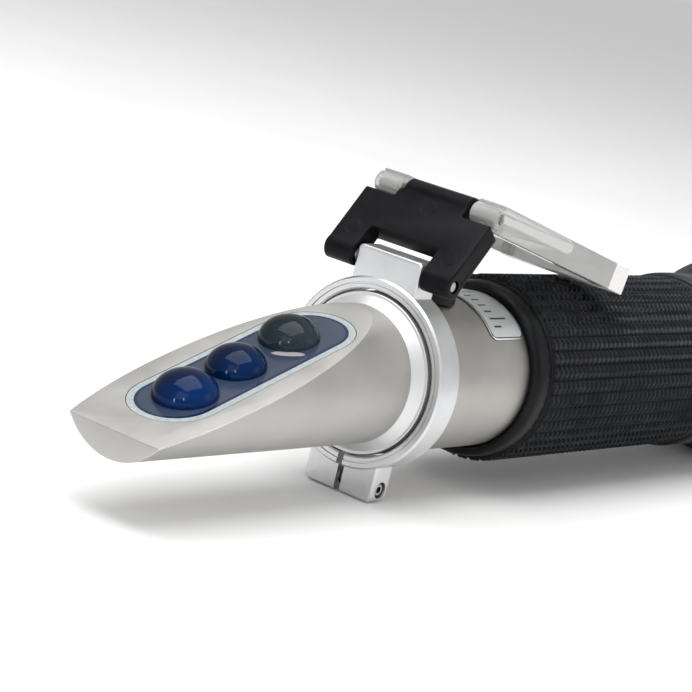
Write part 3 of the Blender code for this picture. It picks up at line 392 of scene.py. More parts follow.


# ---- Drops under test ----
# Two drops of deep blue liquid and a clear one, each held round by its surface tension.
def liquid(name, dark, bright, at, radius, clear):
    """Tinted liquid, painted darkest at its upper rim as shade and lightest low down as gathered light,
    with two painted highlights.
    """
    finish = new_finish(name, dark, 0.03)
    tree = finish.node_tree
    along, across, _ = split(tree, place_of(tree, at))
    low_side = maths(tree, "ADD", times(tree, along, -0.35), times(tree, across, -0.9))
    painted_light_low = between(tree, low_side, -0.35 * radius * MM, 0.85 * radius * MM, smooth=True)
    swirl = between(tree, grain(tree, 2.2, 2.0), 0.3, 0.75, 0.75, 1.1)
    toned = blend_colour(tree, times(tree, painted_light_low, swirl), dark, bright)
    # Two painted highlights low on each drop, as small pale spots in its colour.
    for glint_along, glint_across, size in ((-0.86, -0.36, 0.15), (-0.7, -0.58, 0.12)):
        from_painted_glint = distance(tree, maths(tree, "SUBTRACT", along, glint_along * radius * MM),
                              maths(tree, "SUBTRACT", across, glint_across * radius * MM))
        painted_glint = between(tree, from_painted_glint, size * MM, 0.5 * size * MM)
        toned = blend_colour(tree, painted_glint, toned, (0.5, 0.58, 0.66))
    feed(tree, Base_Color=toned,
         Roughness=between(tree, grain(tree, 1.5, 1.0), 0.3, 0.7, 0.015, 0.04))
    feed(tree, Transmission_Weight=clear, IOR=1.25, Specular_IOR_Level=0.25)
    return finish


side_angles = np.linspace(0.0, 0.24 * math.pi, 12)
crown_angles = np.linspace(0.26 * math.pi, 0.499 * math.pi, 14)
# Each drop's place along and across the slope, its radius, height, two colours (its painted shade tone
# and its painted light tone) and clearness.
for number, (along, across, radius, height, dark, bright, clear) in enumerate((
        (13.8, -0.1, 4.7, 3.5, (0.0, 0.008, 0.045), (0.0, 0.05, 0.24), 0.6),
        (24.6, 0.3, 4.4, 3.2, (0.0, 0.007, 0.036), (0.0, 0.038, 0.17), 0.6),
        (36.5, 0.8, 4.5, 3.3, (0.012, 0.025, 0.038), (0.055, 0.08, 0.1), 0.65)), 1):
    at = SLOPE @ Matrix.Translation((along * MM, across * MM, 0.02 * MM))
    dome = [(height * math.sin(a), radius * math.cos(a)) for a in (*side_angles, *crown_angles)]
    upright = at @ Matrix.Rotation(-math.pi / 2, 4, "Y")
    drop = turned(f"drop_{number}", [(0, 0), *dome, (height, 0)], upright, 64)
    settle(drop, 60)
    ready(drop, liquid(f"liquid_{number}", dark, bright, at, radius, clear), "root", "glass")
    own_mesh(drop)


# ---- Body tube ----
# Drawn aluminium tube, blasted like the head but with faint turning marks round it. A hole in
# its top takes the calibration bush, and its rear end is open for the eyepiece.
TUBE_RADIUS = 12.3
TUBE_BORE = 11.3
TUBE_START = 1.2
TUBE_END = 90
TUBE = satin_metal("satin_tube", (0.42, 0.405, 0.385), (0.48, 0.465, 0.44), 0.42, lines=0.35)
tube = turned("tube_of_satin_aluminium", [
    (TUBE_START, TUBE_RADIUS - 0.1), (TUBE_START + 0.1, TUBE_RADIUS), (TUBE_END, TUBE_RADIUS),
    (TUBE_END, TUBE_BORE), (TUBE_START, TUBE_BORE)])
CALIBRATION_X = 12
UP = Matrix.Rotation(-math.pi / 2, 4, "Y")
calibration_at = OPTICAL @ Matrix.Translation((CALIBRATION_X * MM, 0, 0)) @ UP
carved(tube, turned("bush_hole", [(6, 0), (6, 2.7), (20, 2.7), (20, 0)], calibration_at, 48))
ready(tube, TUBE, "root", "satin_aluminium", "body_tube")

# ---- Clamp ring ----
# Machined from bright aluminium: a ring with a raised outer rim, a hinge lug above and a split
# screw lug below, its faces turned and its edges broken. One screw closes the split on the tube.
BRIGHT = new_finish("bright_aluminium", (0.74, 0.745, 0.75), 0.27, 1.0)
tree = BRIGHT.node_tree
centred = split(tree, place_of(tree, OPTICAL))
TOOL_STEP = 0.14
turn = times(tree, distance(tree, centred[1], centred[2]), 2 * math.pi / (TOOL_STEP * MM))
turning = maths(tree, "SINE", turn)
fingered = grain(tree, 5.0, 5.0)
scuffs = grain(tree, 0.3, 3.0)
feed(tree,
     Base_Color=blend_colour(tree, between(tree, fingered, 0.35, 0.7), (0.64, 0.645, 0.655),
                             (0.73, 0.735, 0.745)),
     Roughness=maths(tree, "ADD", between(tree, fingered, 0.3, 0.7, 0.32, 0.44),
                     times(tree, edges_of(tree, 0.3), -0.1)),
     Normal=relief(tree, between(tree, turning, -1, 1), 0.003, relief(tree, scuffs, 0.01)))
RING_BORE = 12.6
RING_RADIUS = 14.5
RING_WIDTH = 5.05
ring = turned("clamp_ring_body", [
    (0.3, RING_BORE), (0.1, 12.85), (0.1, 13.3), (0.26, 13.36), (0.26, 13.5), (0.0, 13.58), (0.0, 14.2),
    (0.3, RING_RADIUS), (4.77, RING_RADIUS), (RING_WIDTH, 14.25), (RING_WIDTH, RING_BORE)], steps=160)
ACROSS = Matrix(((0, 0, 1, 0), (1, 0, 0, 0), (0, 1, 0, 0), (0, 0, 0, 1)))
for lug_name, half_width, height, front in (("hinge_lug", 6.05, 15.05, 0.4),
                                            ("screw_lug", 6.45, -15.05, 0.85)):
    lug = prism_shape(lug_name, rounded(half_width, 3.5, 1.0, (0, height)), front, RING_WIDTH,
                      OPTICAL @ ACROSS)
    softened(lug, 0.45, segments=4)
    joined(ring, lug)
split_sides = [(-5, -0.55), (15, -0.55), (15, 0.55), (-5, 0.55)]
carved(ring,
       turned("ring_bore", [(-3, 0), (-3, RING_BORE), (9, RING_BORE), (9, 0)], steps=160),
       prism_shape("split_cutter", split_sides, -25, -8, OPTICAL))
SIDEWAYS = Matrix.Rotation(math.pi / 2, 4, "Z")
screw_at = OPTICAL @ Matrix.Translation((2.95 * MM, 0, -16.6 * MM)) @ SIDEWAYS
pin_at = OPTICAL @ Matrix.Translation((1.4 * MM, 0, 16.6 * MM)) @ SIDEWAYS
carved(ring,
       turned("screw_hole", [(-9, 0), (-9, 1.3), (9, 1.3), (9, 0)], screw_at, 48),
       turned("pin_hole", [(-9, 0), (-9, 0.6), (9, 0.6), (9, 0)], pin_at, 48))
ready(ring, BRIGHT, "root", "bright_aluminium", "clamp_ring")


# ---- Clamp screw ----
# A plain steel socket screw that lies across the split lug, sunk in its hole. Its end with the
# hexagon shows at the side, and turning it closes the ring on the tube.
def dark_steel(name, colour, roughness):
    finish = new_finish(name, colour, roughness, 1.0)
    tree = finish.node_tree
    drawn = grain(tree, 0.25, 4.0)
    feed(tree, Base_Color=blend_colour(tree, between(tree, drawn, 0.35, 0.7), colour,
                                       tuple(c * 0.6 for c in colour)),
         Roughness=between(tree, drawn, 0.3, 0.7, roughness - 0.06, roughness + 0.1),
         Normal=relief(tree, drawn, 0.008))
    return finish


STEEL = dark_steel("plain_steel", (0.55, 0.55, 0.56), 0.3)
clamp_screw = turned("clamp_screw_body", [
    (-6.15, 0), (-6.15, 0.85), (-6.0, 1.0), (6.0, 1.0), (6.15, 0.85), (6.15, 0)], screw_at, 40)
carved(clamp_screw, turned("socket", [(-9, 0), (-9, 0.58), (-4.6, 0.58), (-4.6, 0)], screw_at, 6))
ready(clamp_screw, STEEL, "root", "steel", "clamp_screw")

# ---- Hinge block ----
# Black moulded plastic: a thick leaf that straddles the lug on its pin and carries the cover
# plate between its upper corners. The mould left a matt face, three ejector marks and a side step.
joints = {joint["name"]: joint for joint in frame["joints"]}
hinge_pin_at = Vector(joints["cover_arm_hinge"]["pos_m"])
cover_pin_at = Vector(joints["cover_plate_hinge"]["pos_m"])
arm_way = cover_pin_at - hinge_pin_at
ARM_LEAN = math.atan2(arm_way.z, arm_way.x)
ARM = Matrix.Translation(hinge_pin_at) @ Matrix.Rotation(-ARM_LEAN, 4, "Y")
ARM_LENGTH = arm_way.length / MM
SHELF = ARM_LENGTH - 2.5
BLOCK_HALF = 11.7
LUG_GAP_HALF = 6.35
BARREL_END = 6.3
MOULDED = new_finish("black_moulded_plastic", (0.02, 0.02, 0.022), 0.42)
tree = MOULDED.node_tree
skin = grain(tree, 0.22, 3.0)
dust = grain(tree, 3.5, 5.0)
worn = times(tree, edges_of(tree, 0.25), between(tree, dust, 0.35, 0.6))
dusty = blend_colour(tree, between(tree, dust, 0.4, 0.75), (0.003, 0.003, 0.004),
                     (0.006, 0.006, 0.008))
feed(tree,
     Base_Color=blend_colour(tree, worn, dusty, (0.03, 0.03, 0.033)),
     Roughness=between(tree, dust, 0.3, 0.7, 0.34, 0.5), Normal=relief(tree, skin, 0.02))
feed(tree, Specular_IOR_Level=0.1)
leaf = prism_shape("hinge_block_body", [
    (0, -BLOCK_HALF), (0, -LUG_GAP_HALF), (4.45, -LUG_GAP_HALF), (4.45, LUG_GAP_HALF),
    (0, LUG_GAP_HALF), (0, BLOCK_HALF), (SHELF, BLOCK_HALF), (SHELF, BARREL_END),
    (ARM_LENGTH - 1.4, BARREL_END), (ARM_LENGTH, 5.2), (ARM_LENGTH, -BARREL_END),
    (SHELF, -BARREL_END), (SHELF, -BLOCK_HALF)], -1.75, 1.75, ARM)
softened(leaf, 0.3)


def crosswise(name, radius, low, high, at, edge=0.25):
    """A round bar across the instrument, between two distances from its middle."""
    return turned(name, [(low, 0), (low, radius - edge), (low + edge, radius), (high - edge, radius),
                         (high, radius - edge), (high, 0)], at @ SIDEWAYS, 48)


barrel_at = ARM @ Matrix.Translation((ARM_LENGTH * MM, 0, 0))
joined(leaf, crosswise("barrel", 1.95, -BARREL_END, 5.6, barrel_at))
joined(leaf, crosswise("near_knuckle", 1.9, -BLOCK_HALF, -LUG_GAP_HALF, ARM))
joined(leaf, crosswise("far_knuckle", 1.9, LUG_GAP_HALF, BLOCK_HALF, ARM))
marks = [crosswise("pin_bore", 1.0, -20, 20, ARM),
         crosswise("cover_pin_bore", 0.85, -20, 20, barrel_at)]
for number, (x, y) in enumerate(((10.4, -0.4), (3.3, 9.0), (3.3, -9.0))):
    mark_at = ARM @ Matrix.Translation((x * MM, y * MM, 0)) @ UP
    groove = [(1.66, 1.12), (3, 1.12), (3, 1.24), (1.66, 1.24)]
    marks.append(turned(f"mark_{number}", groove, mark_at, 48))
carved(leaf, *marks)
for side in (-1, 1):
    step_sides = [(1.2, side * 11.58), (SHELF - 0.9, side * 11.58), (SHELF - 0.9, side * 12),
                  (1.2, side * 12)]
    carved(leaf, prism_shape("side_step", step_sides, -0.95, -0.75, ARM))
ready(leaf, MOULDED, "cover_arm", "black_plastic", "hinge_block")

# ---- Hinge pins ----
# Two drawn steel pins, cut to length and pressed in: one through block and lug, and one through
# block and cover, which shows through the clear barrels.
hinge_pin = turned("hinge_pin_body", [
    (-11.4, 0), (-11.4, 0.7), (-11.2, 0.9), (-6.3, 0.9), (-6.1, 0.55), (6.1, 0.55), (6.3, 0.9),
    (11.2, 0.9), (11.4, 0.7), (11.4, 0)], ARM @ SIDEWAYS, 48)
ready(hinge_pin, STEEL, "root", "steel", "hinge_pin")
COVER_PIN_STEEL = dark_steel("cover_pin_steel", (0.42, 0.40, 0.38), 0.34)
cover_pin = crosswise("cover_pin_body", 0.72, -11.0, 11.0, barrel_at, edge=0.15)
ready(cover_pin, COVER_PIN_STEEL, "cover_arm", "steel", "cover_pin")

# ---- Cover plate ----
# Injection-moulded clear acrylic with a recess below that leaves rails along its sides, round
# barrels for the pin, and a frosted lip to lift it by.
DIP = math.radians(12.68)
COVER = Matrix.Translation(cover_pin_at) @ Matrix.Rotation(DIP, 4, "Y")
CLEAR = new_finish("clear_acrylic", (0.93, 0.94, 0.93), 0.05)
tree = CLEAR.node_tree
COVER_LENGTH = 43
COVER_HALF = 11.4
BARREL_GAP_HALF = 6.6
LIP_START = 38
along = split(tree, place_of(tree, COVER))[0]
frosted = between(tree, along, (LIP_START - 0.1) * MM, (LIP_START + 0.1) * MM)
scratches = grain(tree, 1.2, 6.0, roughness=0.7)
flow = grain(tree, 5.0, 2.0)
feed(tree,
     Roughness=maths(tree, "ADD", times(tree, frosted, 0.22),
                     between(tree, scratches, 0.45, 0.75, 0.03, 0.16)),
     Base_Color=blend_colour(tree, frosted, (0.70, 0.71, 0.69), (0.96, 0.95, 0.94)),
     Transmission_Weight=maths(tree, "SUBTRACT", 0.66, times(tree, frosted, 0.54)),
     Normal=relief(tree, flow, 0.02))
feed(tree, IOR=1.49)
cover = prism_shape("cover_plate_body", [
    (0, -COVER_HALF), (0, -BARREL_GAP_HALF), (2.25, -BARREL_GAP_HALF), (2.25, BARREL_GAP_HALF),
    (0, BARREL_GAP_HALF), (0, COVER_HALF), (COVER_LENGTH, COVER_HALF), (COVER_LENGTH, -COVER_HALF)],
    -2.2, 2.2, COVER)
carved(cover, prism_shape("recess", rounded(16.95, 9.0, 2.0, (21.05, 0), 8), -5, 0, COVER))
softened(cover, 0.5, segments=4)
joined(cover, crosswise("near_barrel", 1.7, -COVER_HALF, -BARREL_GAP_HALF, COVER))
joined(cover, crosswise("far_barrel", 1.7, BARREL_GAP_HALF, COVER_HALF, COVER))
carved(cover, crosswise("cover_bore", 0.85, -20, 20, COVER))
ready(cover, CLEAR, "cover_plate", "clear_acrylic", "cover_plate")

# ---- Calibration screw, bush and cap ----
# A slotted steel screw in a brass bush that is pressed into the tube, and below them the strip
# and rivets that the screw bears on. A soft black cap is pushed over the top against dust.
BRASS = dark_steel("turned_brass", (0.68, 0.5, 0.24), 0.28)
for node_name in ("calibration_bush", "bimetal_strip"):
    refinished(node_name, BRASS)
for node_name in ("calibration_screw", "front_rivet", "rear_rivet"):
    refinished(node_name, STEEL)


def soft_rubber(name, colour, pale, roughness, size):
    """Moulded rubber: fine skin, a dusty bloom, and edges rubbed grey."""
    finish = new_finish(name, colour, roughness)
    tree = finish.node_tree
    skin = grain(tree, size, 4.0)
    bloom = grain(tree, 7.0, 5.0)
    rubbed = times(tree, edges_of(tree, 0.3), between(tree, skin, 0.35, 0.65))
    bloomed = blend_colour(tree, between(tree, bloom, 0.4, 0.75), colour, pale)
    feed(tree,
         Base_Color=blend_colour(tree, times(tree, rubbed, 0.6), bloomed,
                                 tuple(c * 2.2 for c in pale)),
         Roughness=between(tree, bloom, 0.3, 0.7, roughness - 0.07, roughness + 0.07),
         Normal=relief(tree, skin, 0.02))
    feed(tree, Specular_IOR_Level=0.2)
    return finish


RUBBER = soft_rubber("black_rubber", (0.006, 0.0065, 0.008), (0.010, 0.011, 0.013), 0.5, 0.3)
cap_top = (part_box("calibration_cap")[1].z - OPTICAL.translation.z) / MM
cap = turned("rubber_cap", [
    (10.6, 3.8), (10.6, 4.8), (cap_top - 1.2, 4.6), (cap_top - 0.7, 4.47), (cap_top - 0.3, 4.2),
    (cap_top - 0.08, 3.75), (cap_top, 3.2), (cap_top - 0.02, 0), (cap_top - 1.2, 0),
    (cap_top - 1.2, 3.8)], calibration_at, 64)
carved(cap, turned("saddle", [(-30, 0), (-30, 12.6), (60, 12.6), (60, 0)], steps=160))
ready(cap, RUBBER, "calibration_cap", "black_rubber", "calibration_cap")

# ---- Label ----
# A thin silvered sticker laid round the top of the tube, printed with a fine round-cornered
# border and a plain scale of ticks in place of any words.
LABEL_MIDDLE = 23.0
LABEL_HALF = 4.5
LABEL_RADIUS = 12.5
LABEL_REACH = math.radians(51)
CORNER = 1.3
TICK_PITCH = 1.5
STICKER = new_finish("silver_sticker", (0.7, 0.71, 0.73), 0.36, 0.75)
tree = STICKER.node_tree
label_at = OPTICAL @ Matrix.Translation((LABEL_MIDDLE * MM, 0, 0))
x, y, z = split(tree, place_of(tree, label_at))
arc = times(tree, maths(tree, "ARCTAN2", y, z), LABEL_RADIUS)
length = times(tree, x, 1 / MM)
arc_half = LABEL_RADIUS * LABEL_REACH


def inset(tree, margin):
    """How far inside the sticker's edge a point is, less a margin, in millimetres."""
    dx = maths(tree, "SUBTRACT", maths(tree, "ABSOLUTE", length), LABEL_HALF - CORNER)
    dy = maths(tree, "SUBTRACT", maths(tree, "ABSOLUTE", arc), arc_half - CORNER)
    out = distance(tree, maths(tree, "MAXIMUM", dx, 0.0), maths(tree, "MAXIMUM", dy, 0.0))
    inner = maths(tree, "MINIMUM", maths(tree, "MAXIMUM", dx, dy), 0.0)
    return maths(tree, "SUBTRACT", CORNER - margin, maths(tree, "ADD", out, inner))


def from_tick(tree, pitch):
    """Distance round the label from the nearest of evenly spaced ticks, as a share of their pitch."""
    turn = maths(tree, "ADD", maths(tree, "DIVIDE", arc, pitch), 0.5)
    return maths(tree, "ABSOLUTE", maths(tree, "SUBTRACT", maths(tree, "FRACT", turn), 0.5))


border = maths(tree, "LESS_THAN", maths(tree, "ABSOLUTE", inset(tree, 0.22)), 0.09)
tick = maths(tree, "LESS_THAN", from_tick(tree, TICK_PITCH), 0.11)
long_tick = maths(tree, "LESS_THAN", from_tick(tree, 5 * TICK_PITCH), 0.03)
tick_end = maths(tree, "ADD", -0.6, times(tree, long_tick, 2.4))
row = times(tree, maths(tree, "GREATER_THAN", length, -2.6),
            maths(tree, "LESS_THAN", length, tick_end))
held = maths(tree, "LESS_THAN", maths(tree, "ABSOLUTE", arc), arc_half - 1.4)
ink = maths(tree, "MAXIMUM", border, times(tree, times(tree, tick, row), held))
sheen = grain(tree, 3.0, 4.0)
silver = blend_colour(tree, between(tree, sheen, 0.35, 0.7), (0.76, 0.77, 0.785),
                      (0.82, 0.83, 0.84))
feed(tree,
     Base_Color=blend_colour(tree, ink, silver, (0.02, 0.021, 0.025)),
     Metallic=times(tree, maths(tree, "SUBTRACT", 1.0, ink), 0.75),
     Roughness=between(tree, sheen, 0.3, 0.7, 0.3, 0.42),
     Normal=relief(tree, grain(tree, 1.0, 3.0), 0.01))
label = turned("label_sticker", [(18.4, 12.42), (27.6, 12.42), (27.6, 12.56), (18.4, 12.56)],
               steps=192)
label_sides = rounded(LABEL_HALF, LABEL_RADIUS * math.sin(LABEL_REACH), CORNER, (LABEL_MIDDLE, 0))
joined(label, prism_shape("label_outline", label_sides, 1, 14, OPTICAL), "INTERSECT")
ready(label, STICKER, "root", "label", "label_plate")


# ---- Rubber grip ----
# A moulded rubber sleeve pushed over the tube: a smooth round nose, then forty bands of small
# chevron ribs that run its whole length, and a narrow plain hem before the eyepiece.
GRIP_RUBBER = soft_rubber("ribbed_rubber", (0.002, 0.0024, 0.004), (0.004, 0.005, 0.008), 0.36, 0.2)
tree = GRIP_RUBBER.node_tree
# Rib crests are painted lighter where handled. This is partly wear, and partly painted highlights on
# the teeth with painted shade in the grooves.
across, height = split(tree, place_of(tree, OPTICAL))[1:3]
on_ribs = between(tree, distance(tree, across, height), 14.6 * MM, 15.0 * MM, smooth=True)
worn_and_highlit_crests = times(tree, on_ribs, between(tree, grain(tree, 4.0, 4.0), 0.25, 0.7))
feed(tree, Base_Color=blend_colour(tree, worn_and_highlit_crests, (0.0016, 0.002, 0.003), (0.028, 0.033, 0.042)))
BANDS = 40
BAND_STEPS = 8
PITCH = 1.42
PITCH_STEPS = 8
RIB_START = 31.9
RIB_END = 89.4
RIB_TOP = 15.05
RIB_FLOOR = 14.2
CHEVRON = 0.62
nose = ((27.9, 12.65), (27.9, 13.05), (28.05, 13.35), (28.35, 13.68), (28.8, 13.92), (29.4, 14.05),
        (30.4, 14.12), (31.3, 14.12), (31.5, 14.12), (31.58, 14.3), (31.7, 14.42))
hem = ((89.5, 14.5), (89.6, 14.8), (89.75, 14.95), (90.35, 14.95), (90.55, 14.8), (90.6, 14.6),
       (90.6, 12.65))
steps = np.arange(BANDS * BAND_STEPS)
turns = steps * 2 * math.pi / (BANDS * BAND_STEPS)
from_middle = np.abs((steps % BAND_STEPS) / BAND_STEPS - 0.5) * 2
swell = np.clip(1.4 * (1 - from_middle ** 4), 0.3, 1)
rows = [(np.full(turns.size, x), np.full(turns.size, r)) for x, r in nose]
for x in np.linspace(RIB_START, RIB_END, int((RIB_END - RIB_START) / (PITCH / PITCH_STEPS))):
    phase = ((x - CHEVRON * (1 - from_middle)) / PITCH) % 1.0
    tooth = np.clip(2.0 * (1 - np.abs(2 * phase - 1)) - 0.75, 0, 1)
    run_out = max(min(1.0, (x - RIB_START) / 0.25, (RIB_END - x) / 0.25), 0)
    rows.append((np.full(turns.size, x), RIB_FLOOR + (RIB_TOP - RIB_FLOOR) * tooth * swell * run_out))
rows += [(np.full(turns.size, x), np.full(turns.size, r)) for x, r in hem]
xs = np.array([row[0] for row in rows])
rs = np.array([row[1] for row in rows])
points = np.stack([xs, rs * np.sin(turns), rs * np.cos(turns)], -1).reshape(-1, 3) * MM
near = np.arange(len(rows) * turns.size).reshape(len(rows), turns.size)
far_row = np.roll(near, -1, 0)
quads = np.stack([near, np.roll(near, -1, 1), np.roll(far_row, -1, 1), far_row], -1).reshape(-1, 4)
grip_mesh = bpy.data.meshes.new("ribbed_grip")
grip_mesh.from_pydata(points.tolist(), [], quads.tolist())
grip_mesh.transform(OPTICAL)
grip_mesh.shade_smooth()
grip_mesh.set_sharp_from_angle(angle=math.radians(50))
grip = bpy.data.objects.new("ribbed_grip", grip_mesh)
bpy.context.scene.collection.objects.link(grip)
ready(grip, GRIP_RUBBER, "root", "black_rubber", "rubber_grip")

# ---- Eyepiece housing ----
# Black moulded plastic: a smooth crowned collar that is turned to focus, on a threaded barrel
# that runs in the tube. Behind the collar a core carries the eyecup and the lens chamber.
COLLAR = new_finish("eyepiece_plastic", (0.016, 0.017, 0.019), 0.38)
tree = COLLAR.node_tree
skin = grain(tree, 0.25, 3.0)
touch = grain(tree, 6.0, 5.0)
touched = blend_colour(tree, between(tree, touch, 0.4, 0.7), (0.006, 0.0065, 0.008),
                       (0.010, 0.011, 0.013))
feed(tree,
     Base_Color=blend_colour(tree, edges_of(tree, 0.25), touched, (0.03, 0.03, 0.034)),
     Roughness=between(tree, touch, 0.3, 0.7, 0.32, 0.48), Normal=relief(tree, skin, 0.012))
feed(tree, Specular_IOR_Level=0.35)
housing = turned("eyepiece_body", [
    (80.9, 8.6), (80.9, 11.0), (90.9, 11.0), (90.9, 14.9), (91.0, 15.2), (91.25, 15.45),
    (91.7, 15.58), (93.2, 15.6), (96.5, 15.6), (98.6, 15.52), (99.6, 15.35), (99.85, 15.1),
    (100.1, 15.06), (100.35, 15.2), (100.8, 15.3), (101.3, 15.25), (101.3, 13.2), (114.3, 13.2),
    (114.5, 13.0), (114.5, 10.4), (104.0, 10.4), (104.0, 8.6)])
settle(housing, 35)
ready(housing, COLLAR, "eyepiece", "black_plastic", "eyepiece_housing")

# ---- Eye lenses and their ring ----
# Two coated glass lenses with a spacer between them, dropped into the chamber from behind. A
# black ring with two notches for a spanner screws in after them and holds them.
COATED = new_finish("coated_glass", (0.10, 0.12, 0.15), 0.03)
tree = COATED.node_tree
facing = tree.nodes.new("ShaderNodeLayerWeight")
facing.inputs["Blend"].default_value = 0.35
coating = blend_colour(tree, facing.outputs["Facing"], (0.05, 0.075, 0.10), (0.16, 0.10, 0.24))
cloud = between(tree, grain(tree, 4.0, 2.0), 0.4, 0.7)
feed(tree, Base_Color=blend_colour(tree, cloud, coating, (0.07, 0.09, 0.12)),
     Roughness=between(tree, grain(tree, 2.0, 3.0), 0.3, 0.7, 0.02, 0.06))
feed(tree, IOR=1.6, Coat_Weight=0.8, Coat_Roughness=0.02, Coat_IOR=1.7)
LENS_RADIUS = 10.1
LENS_BULGE = 1.0
LENS_THICKNESS = 2.8
lens_rear = (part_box("eye_lens_rear")[1].x - OPTICAL.translation.x) / MM
lens_front = lens_rear - LENS_THICKNESS
curve_radius = (LENS_RADIUS ** 2 + LENS_BULGE ** 2) / (2 * LENS_BULGE)
curve = [(lens_rear - curve_radius + math.sqrt(curve_radius ** 2 - r ** 2), r)
         for r in np.linspace(0, LENS_RADIUS, 26)]
rear_lens = turned("rear_eye_lens", curve + [(lens_front, LENS_RADIUS), (lens_front, 0)], steps=96)
settle(rear_lens, 50)
ready(rear_lens, COATED, "eyepiece", "glass", "eye_lens_rear")
retainer_low, retainer_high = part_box("eyepiece_ring")
ring_from = (retainer_low.x - OPTICAL.translation.x) / MM
ring_to = (retainer_high.x - OPTICAL.translation.x) / MM
retainer = turned("lens_retainer", [
    (ring_from, LENS_RADIUS), (ring_from, 8.45), (ring_from + 0.5, 8.5), (ring_to - 0.15, 9.1),
    (ring_to, 9.25), (ring_to, 9.95), (ring_to - 0.15, LENS_RADIUS)], steps=96)
notch_sides = [(ring_to - 0.7, -0.8), (ring_to + 2, -0.8), (ring_to + 2, 0.8), (ring_to - 0.7, 0.8)]
carved(retainer, prism_shape("notches", notch_sides, -15, 15, OPTICAL))
ready(retainer, COLLAR, "eyepiece", "black_plastic", "eyepiece_ring")

# ---- Eyecup ----
# Soft black rubber, pushed over the core: it flares from the collar to its widest band, then
# folds in to a rim that meets the eye. Inside, a dish runs down to the lens.
CUP_RUBBER = soft_rubber("eyecup_rubber", (0.006, 0.007, 0.008), (0.011, 0.012, 0.014), 0.52, 0.25)


def smooth_line(points, parts=6):
    """The same turned outline, as a smooth curve through its points."""
    made = []
    for i in range(len(points) - 1):
        a, b = points[max(i - 1, 0)], points[i]
        c, d = points[i + 1], points[min(i + 2, len(points) - 1)]
        for t in np.arange(parts) / parts:
            made.append(tuple(0.5 * (2 * q + (r - p) * t + (2 * p - 5 * q + 4 * r - s) * t * t
                                     + (3 * q - p - 3 * r + s) * t ** 3)
                              for p, q, r, s in zip(a, b, c, d)))
    return made + [points[-1]]


# The widest band is what the instrument rests on.
CUP_RADIUS = 18.55
cup_outside = smooth_line([
    (101.6, 15.0), (103.5, 15.05), (106.0, 15.35), (108.6, 16.0), (111.0, 16.9), (113.4, 17.85),
    (115.0, 18.42), (116.2, CUP_RADIUS), (119.0, CUP_RADIUS), (120.4, 18.36), (122.6, 17.75),
    (125.0, 16.95), (126.4, 16.3), (126.9, 15.85)])
cup_inside = smooth_line([
    (127.0, 15.5), (126.8, 15.15), (125.6, 14.95), (123.6, 14.5), (121.4, 13.5), (119.4, 12.3),
    (117.8, 11.4), (116.6, 10.95)])
cup_foot = [(114.8, 10.9), (114.8, 13.5), (101.6, 13.5)]
cup = turned("soft_eyecup", cup_outside + cup_inside + cup_foot)
for number, (x, r) in enumerate(((104.6, 15.16), (106.4, 15.42))):
    fold = [(x - 0.28, r + 0.35), (x - 0.1, r - 0.16), (x + 0.1, r - 0.16), (x + 0.28, r + 0.35)]
    carved(cup, turned(f"fold_{number}", fold))
settle(cup, 40)
ready(cup, CUP_RUBBER, "eyepiece", "black_rubber", "eyecup")

# ---- Pieces inside the tube ----
# Blackened plastic rings and holders, the scale glass, the objective lens and the sealing
# rings: out of sight, but each with the finish of the real one.
for node_name in ("light_baffle", "scale_holder", "scale_ring", "lens_carrier", "lens_cell",
                  "lens_cell_ring", "lens_spacer", "field_stop"):
    refinished(node_name, COLLAR)
for node_name in ("scale_glass", "objective_lens", "eye_lens_front"):
    refinished(node_name, COATED)
for node_name in ("head_o_ring", "focus_o_ring"):
    refinished(node_name, RUBBER)

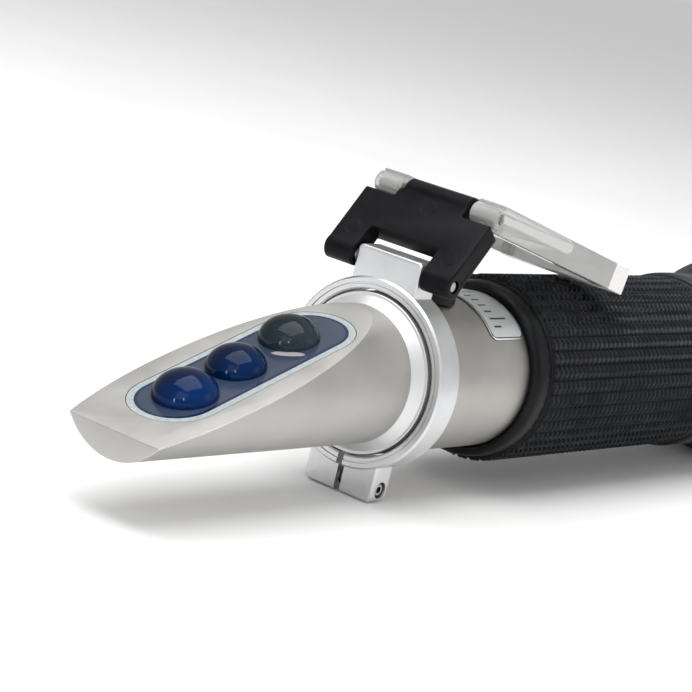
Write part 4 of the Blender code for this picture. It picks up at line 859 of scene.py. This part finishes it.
# ---- Table, light and camera ----
# A plain pale table under soft studio light: a wide box above, a tall one at the left and a
# weaker one at the right.
TABLE = new_finish("pale_table", (0.93, 0.93, 0.93), 0.7)
tree = TABLE.node_tree
mottle = grain(tree, 40, 3.0)
feed(tree, Base_Color=blend_colour(tree, mottle, (0.92, 0.92, 0.92), (0.95, 0.95, 0.945)),
     Roughness=between(tree, mottle, 0.3, 0.7, 0.6, 0.8),
     Normal=relief(tree, grain(tree, 1.0, 2.0), 0.01))
floor_shape = bmesh.new()
bmesh.ops.create_grid(floor_shape, x_segments=8, y_segments=8, size=4.0)
floor = as_piece("table", floor_shape, Matrix.Translation((0, 0, -0.0002)))
floor.data.materials.append(TABLE)

world = bpy.data.worlds.new("studio")
bpy.context.scene.world = world
world.use_nodes = True
world.node_tree.nodes["Background"].inputs[0].default_value = (1.0, 1.0, 1.0, 1)
world.node_tree.nodes["Background"].inputs[1].default_value = 0.58

AIM = Vector((0, 0, 0.02))
for lamp_name, place, size, power in (("above", (-0.12, 0.02, 0.75), 0.7, 5.8),
                                      ("left", (-0.75, -0.25, 0.45), 0.5, 1.2),
                                      ("right", (0.35, -0.75, 0.35), 0.4, 0.5)):
    lamp = bpy.data.lights.new(lamp_name, "AREA")
    lamp.size = size
    lamp.energy = power
    lit = bpy.data.objects.new(lamp_name, lamp)
    lit.location = place
    lit.rotation_euler = (Vector(place) - AIM).to_track_quat("Z", "Y").to_euler()
    bpy.context.scene.collection.objects.link(lit)

AZIMUTH = math.radians(-55.225)
ELEVATION = math.radians(10.87)
ROLL = math.radians(13.455)
STAND = Vector((-0.32523, -0.19636, 0.08885))
back = Vector((math.sin(AZIMUTH) * math.cos(ELEVATION), -math.cos(AZIMUTH) * math.cos(ELEVATION),
               math.sin(ELEVATION)))
level = Vector((0, 0, 1)).cross(back).normalized()
rise = back.cross(level)
right = math.cos(ROLL) * level + math.sin(ROLL) * rise
up = math.cos(ROLL) * rise - math.sin(ROLL) * level
lens = bpy.data.cameras.new("camera")
lens.lens = 124.12
lens.sensor_width = 36
lens.shift_x = 0.00103
lens.shift_y = 0.00067
lens.clip_start = 0.01
camera = bpy.data.objects.new("camera", lens)
camera.matrix_world = Matrix((
    (right.x, up.x, back.x, STAND.x), (right.y, up.y, back.y, STAND.y),
    (right.z, up.z, back.z, STAND.z), (0, 0, 0, 1)))
bpy.context.scene.collection.objects.link(camera)
bpy.context.scene.camera = camera
bpy.context.scene.view_settings.view_transform = "Standard"
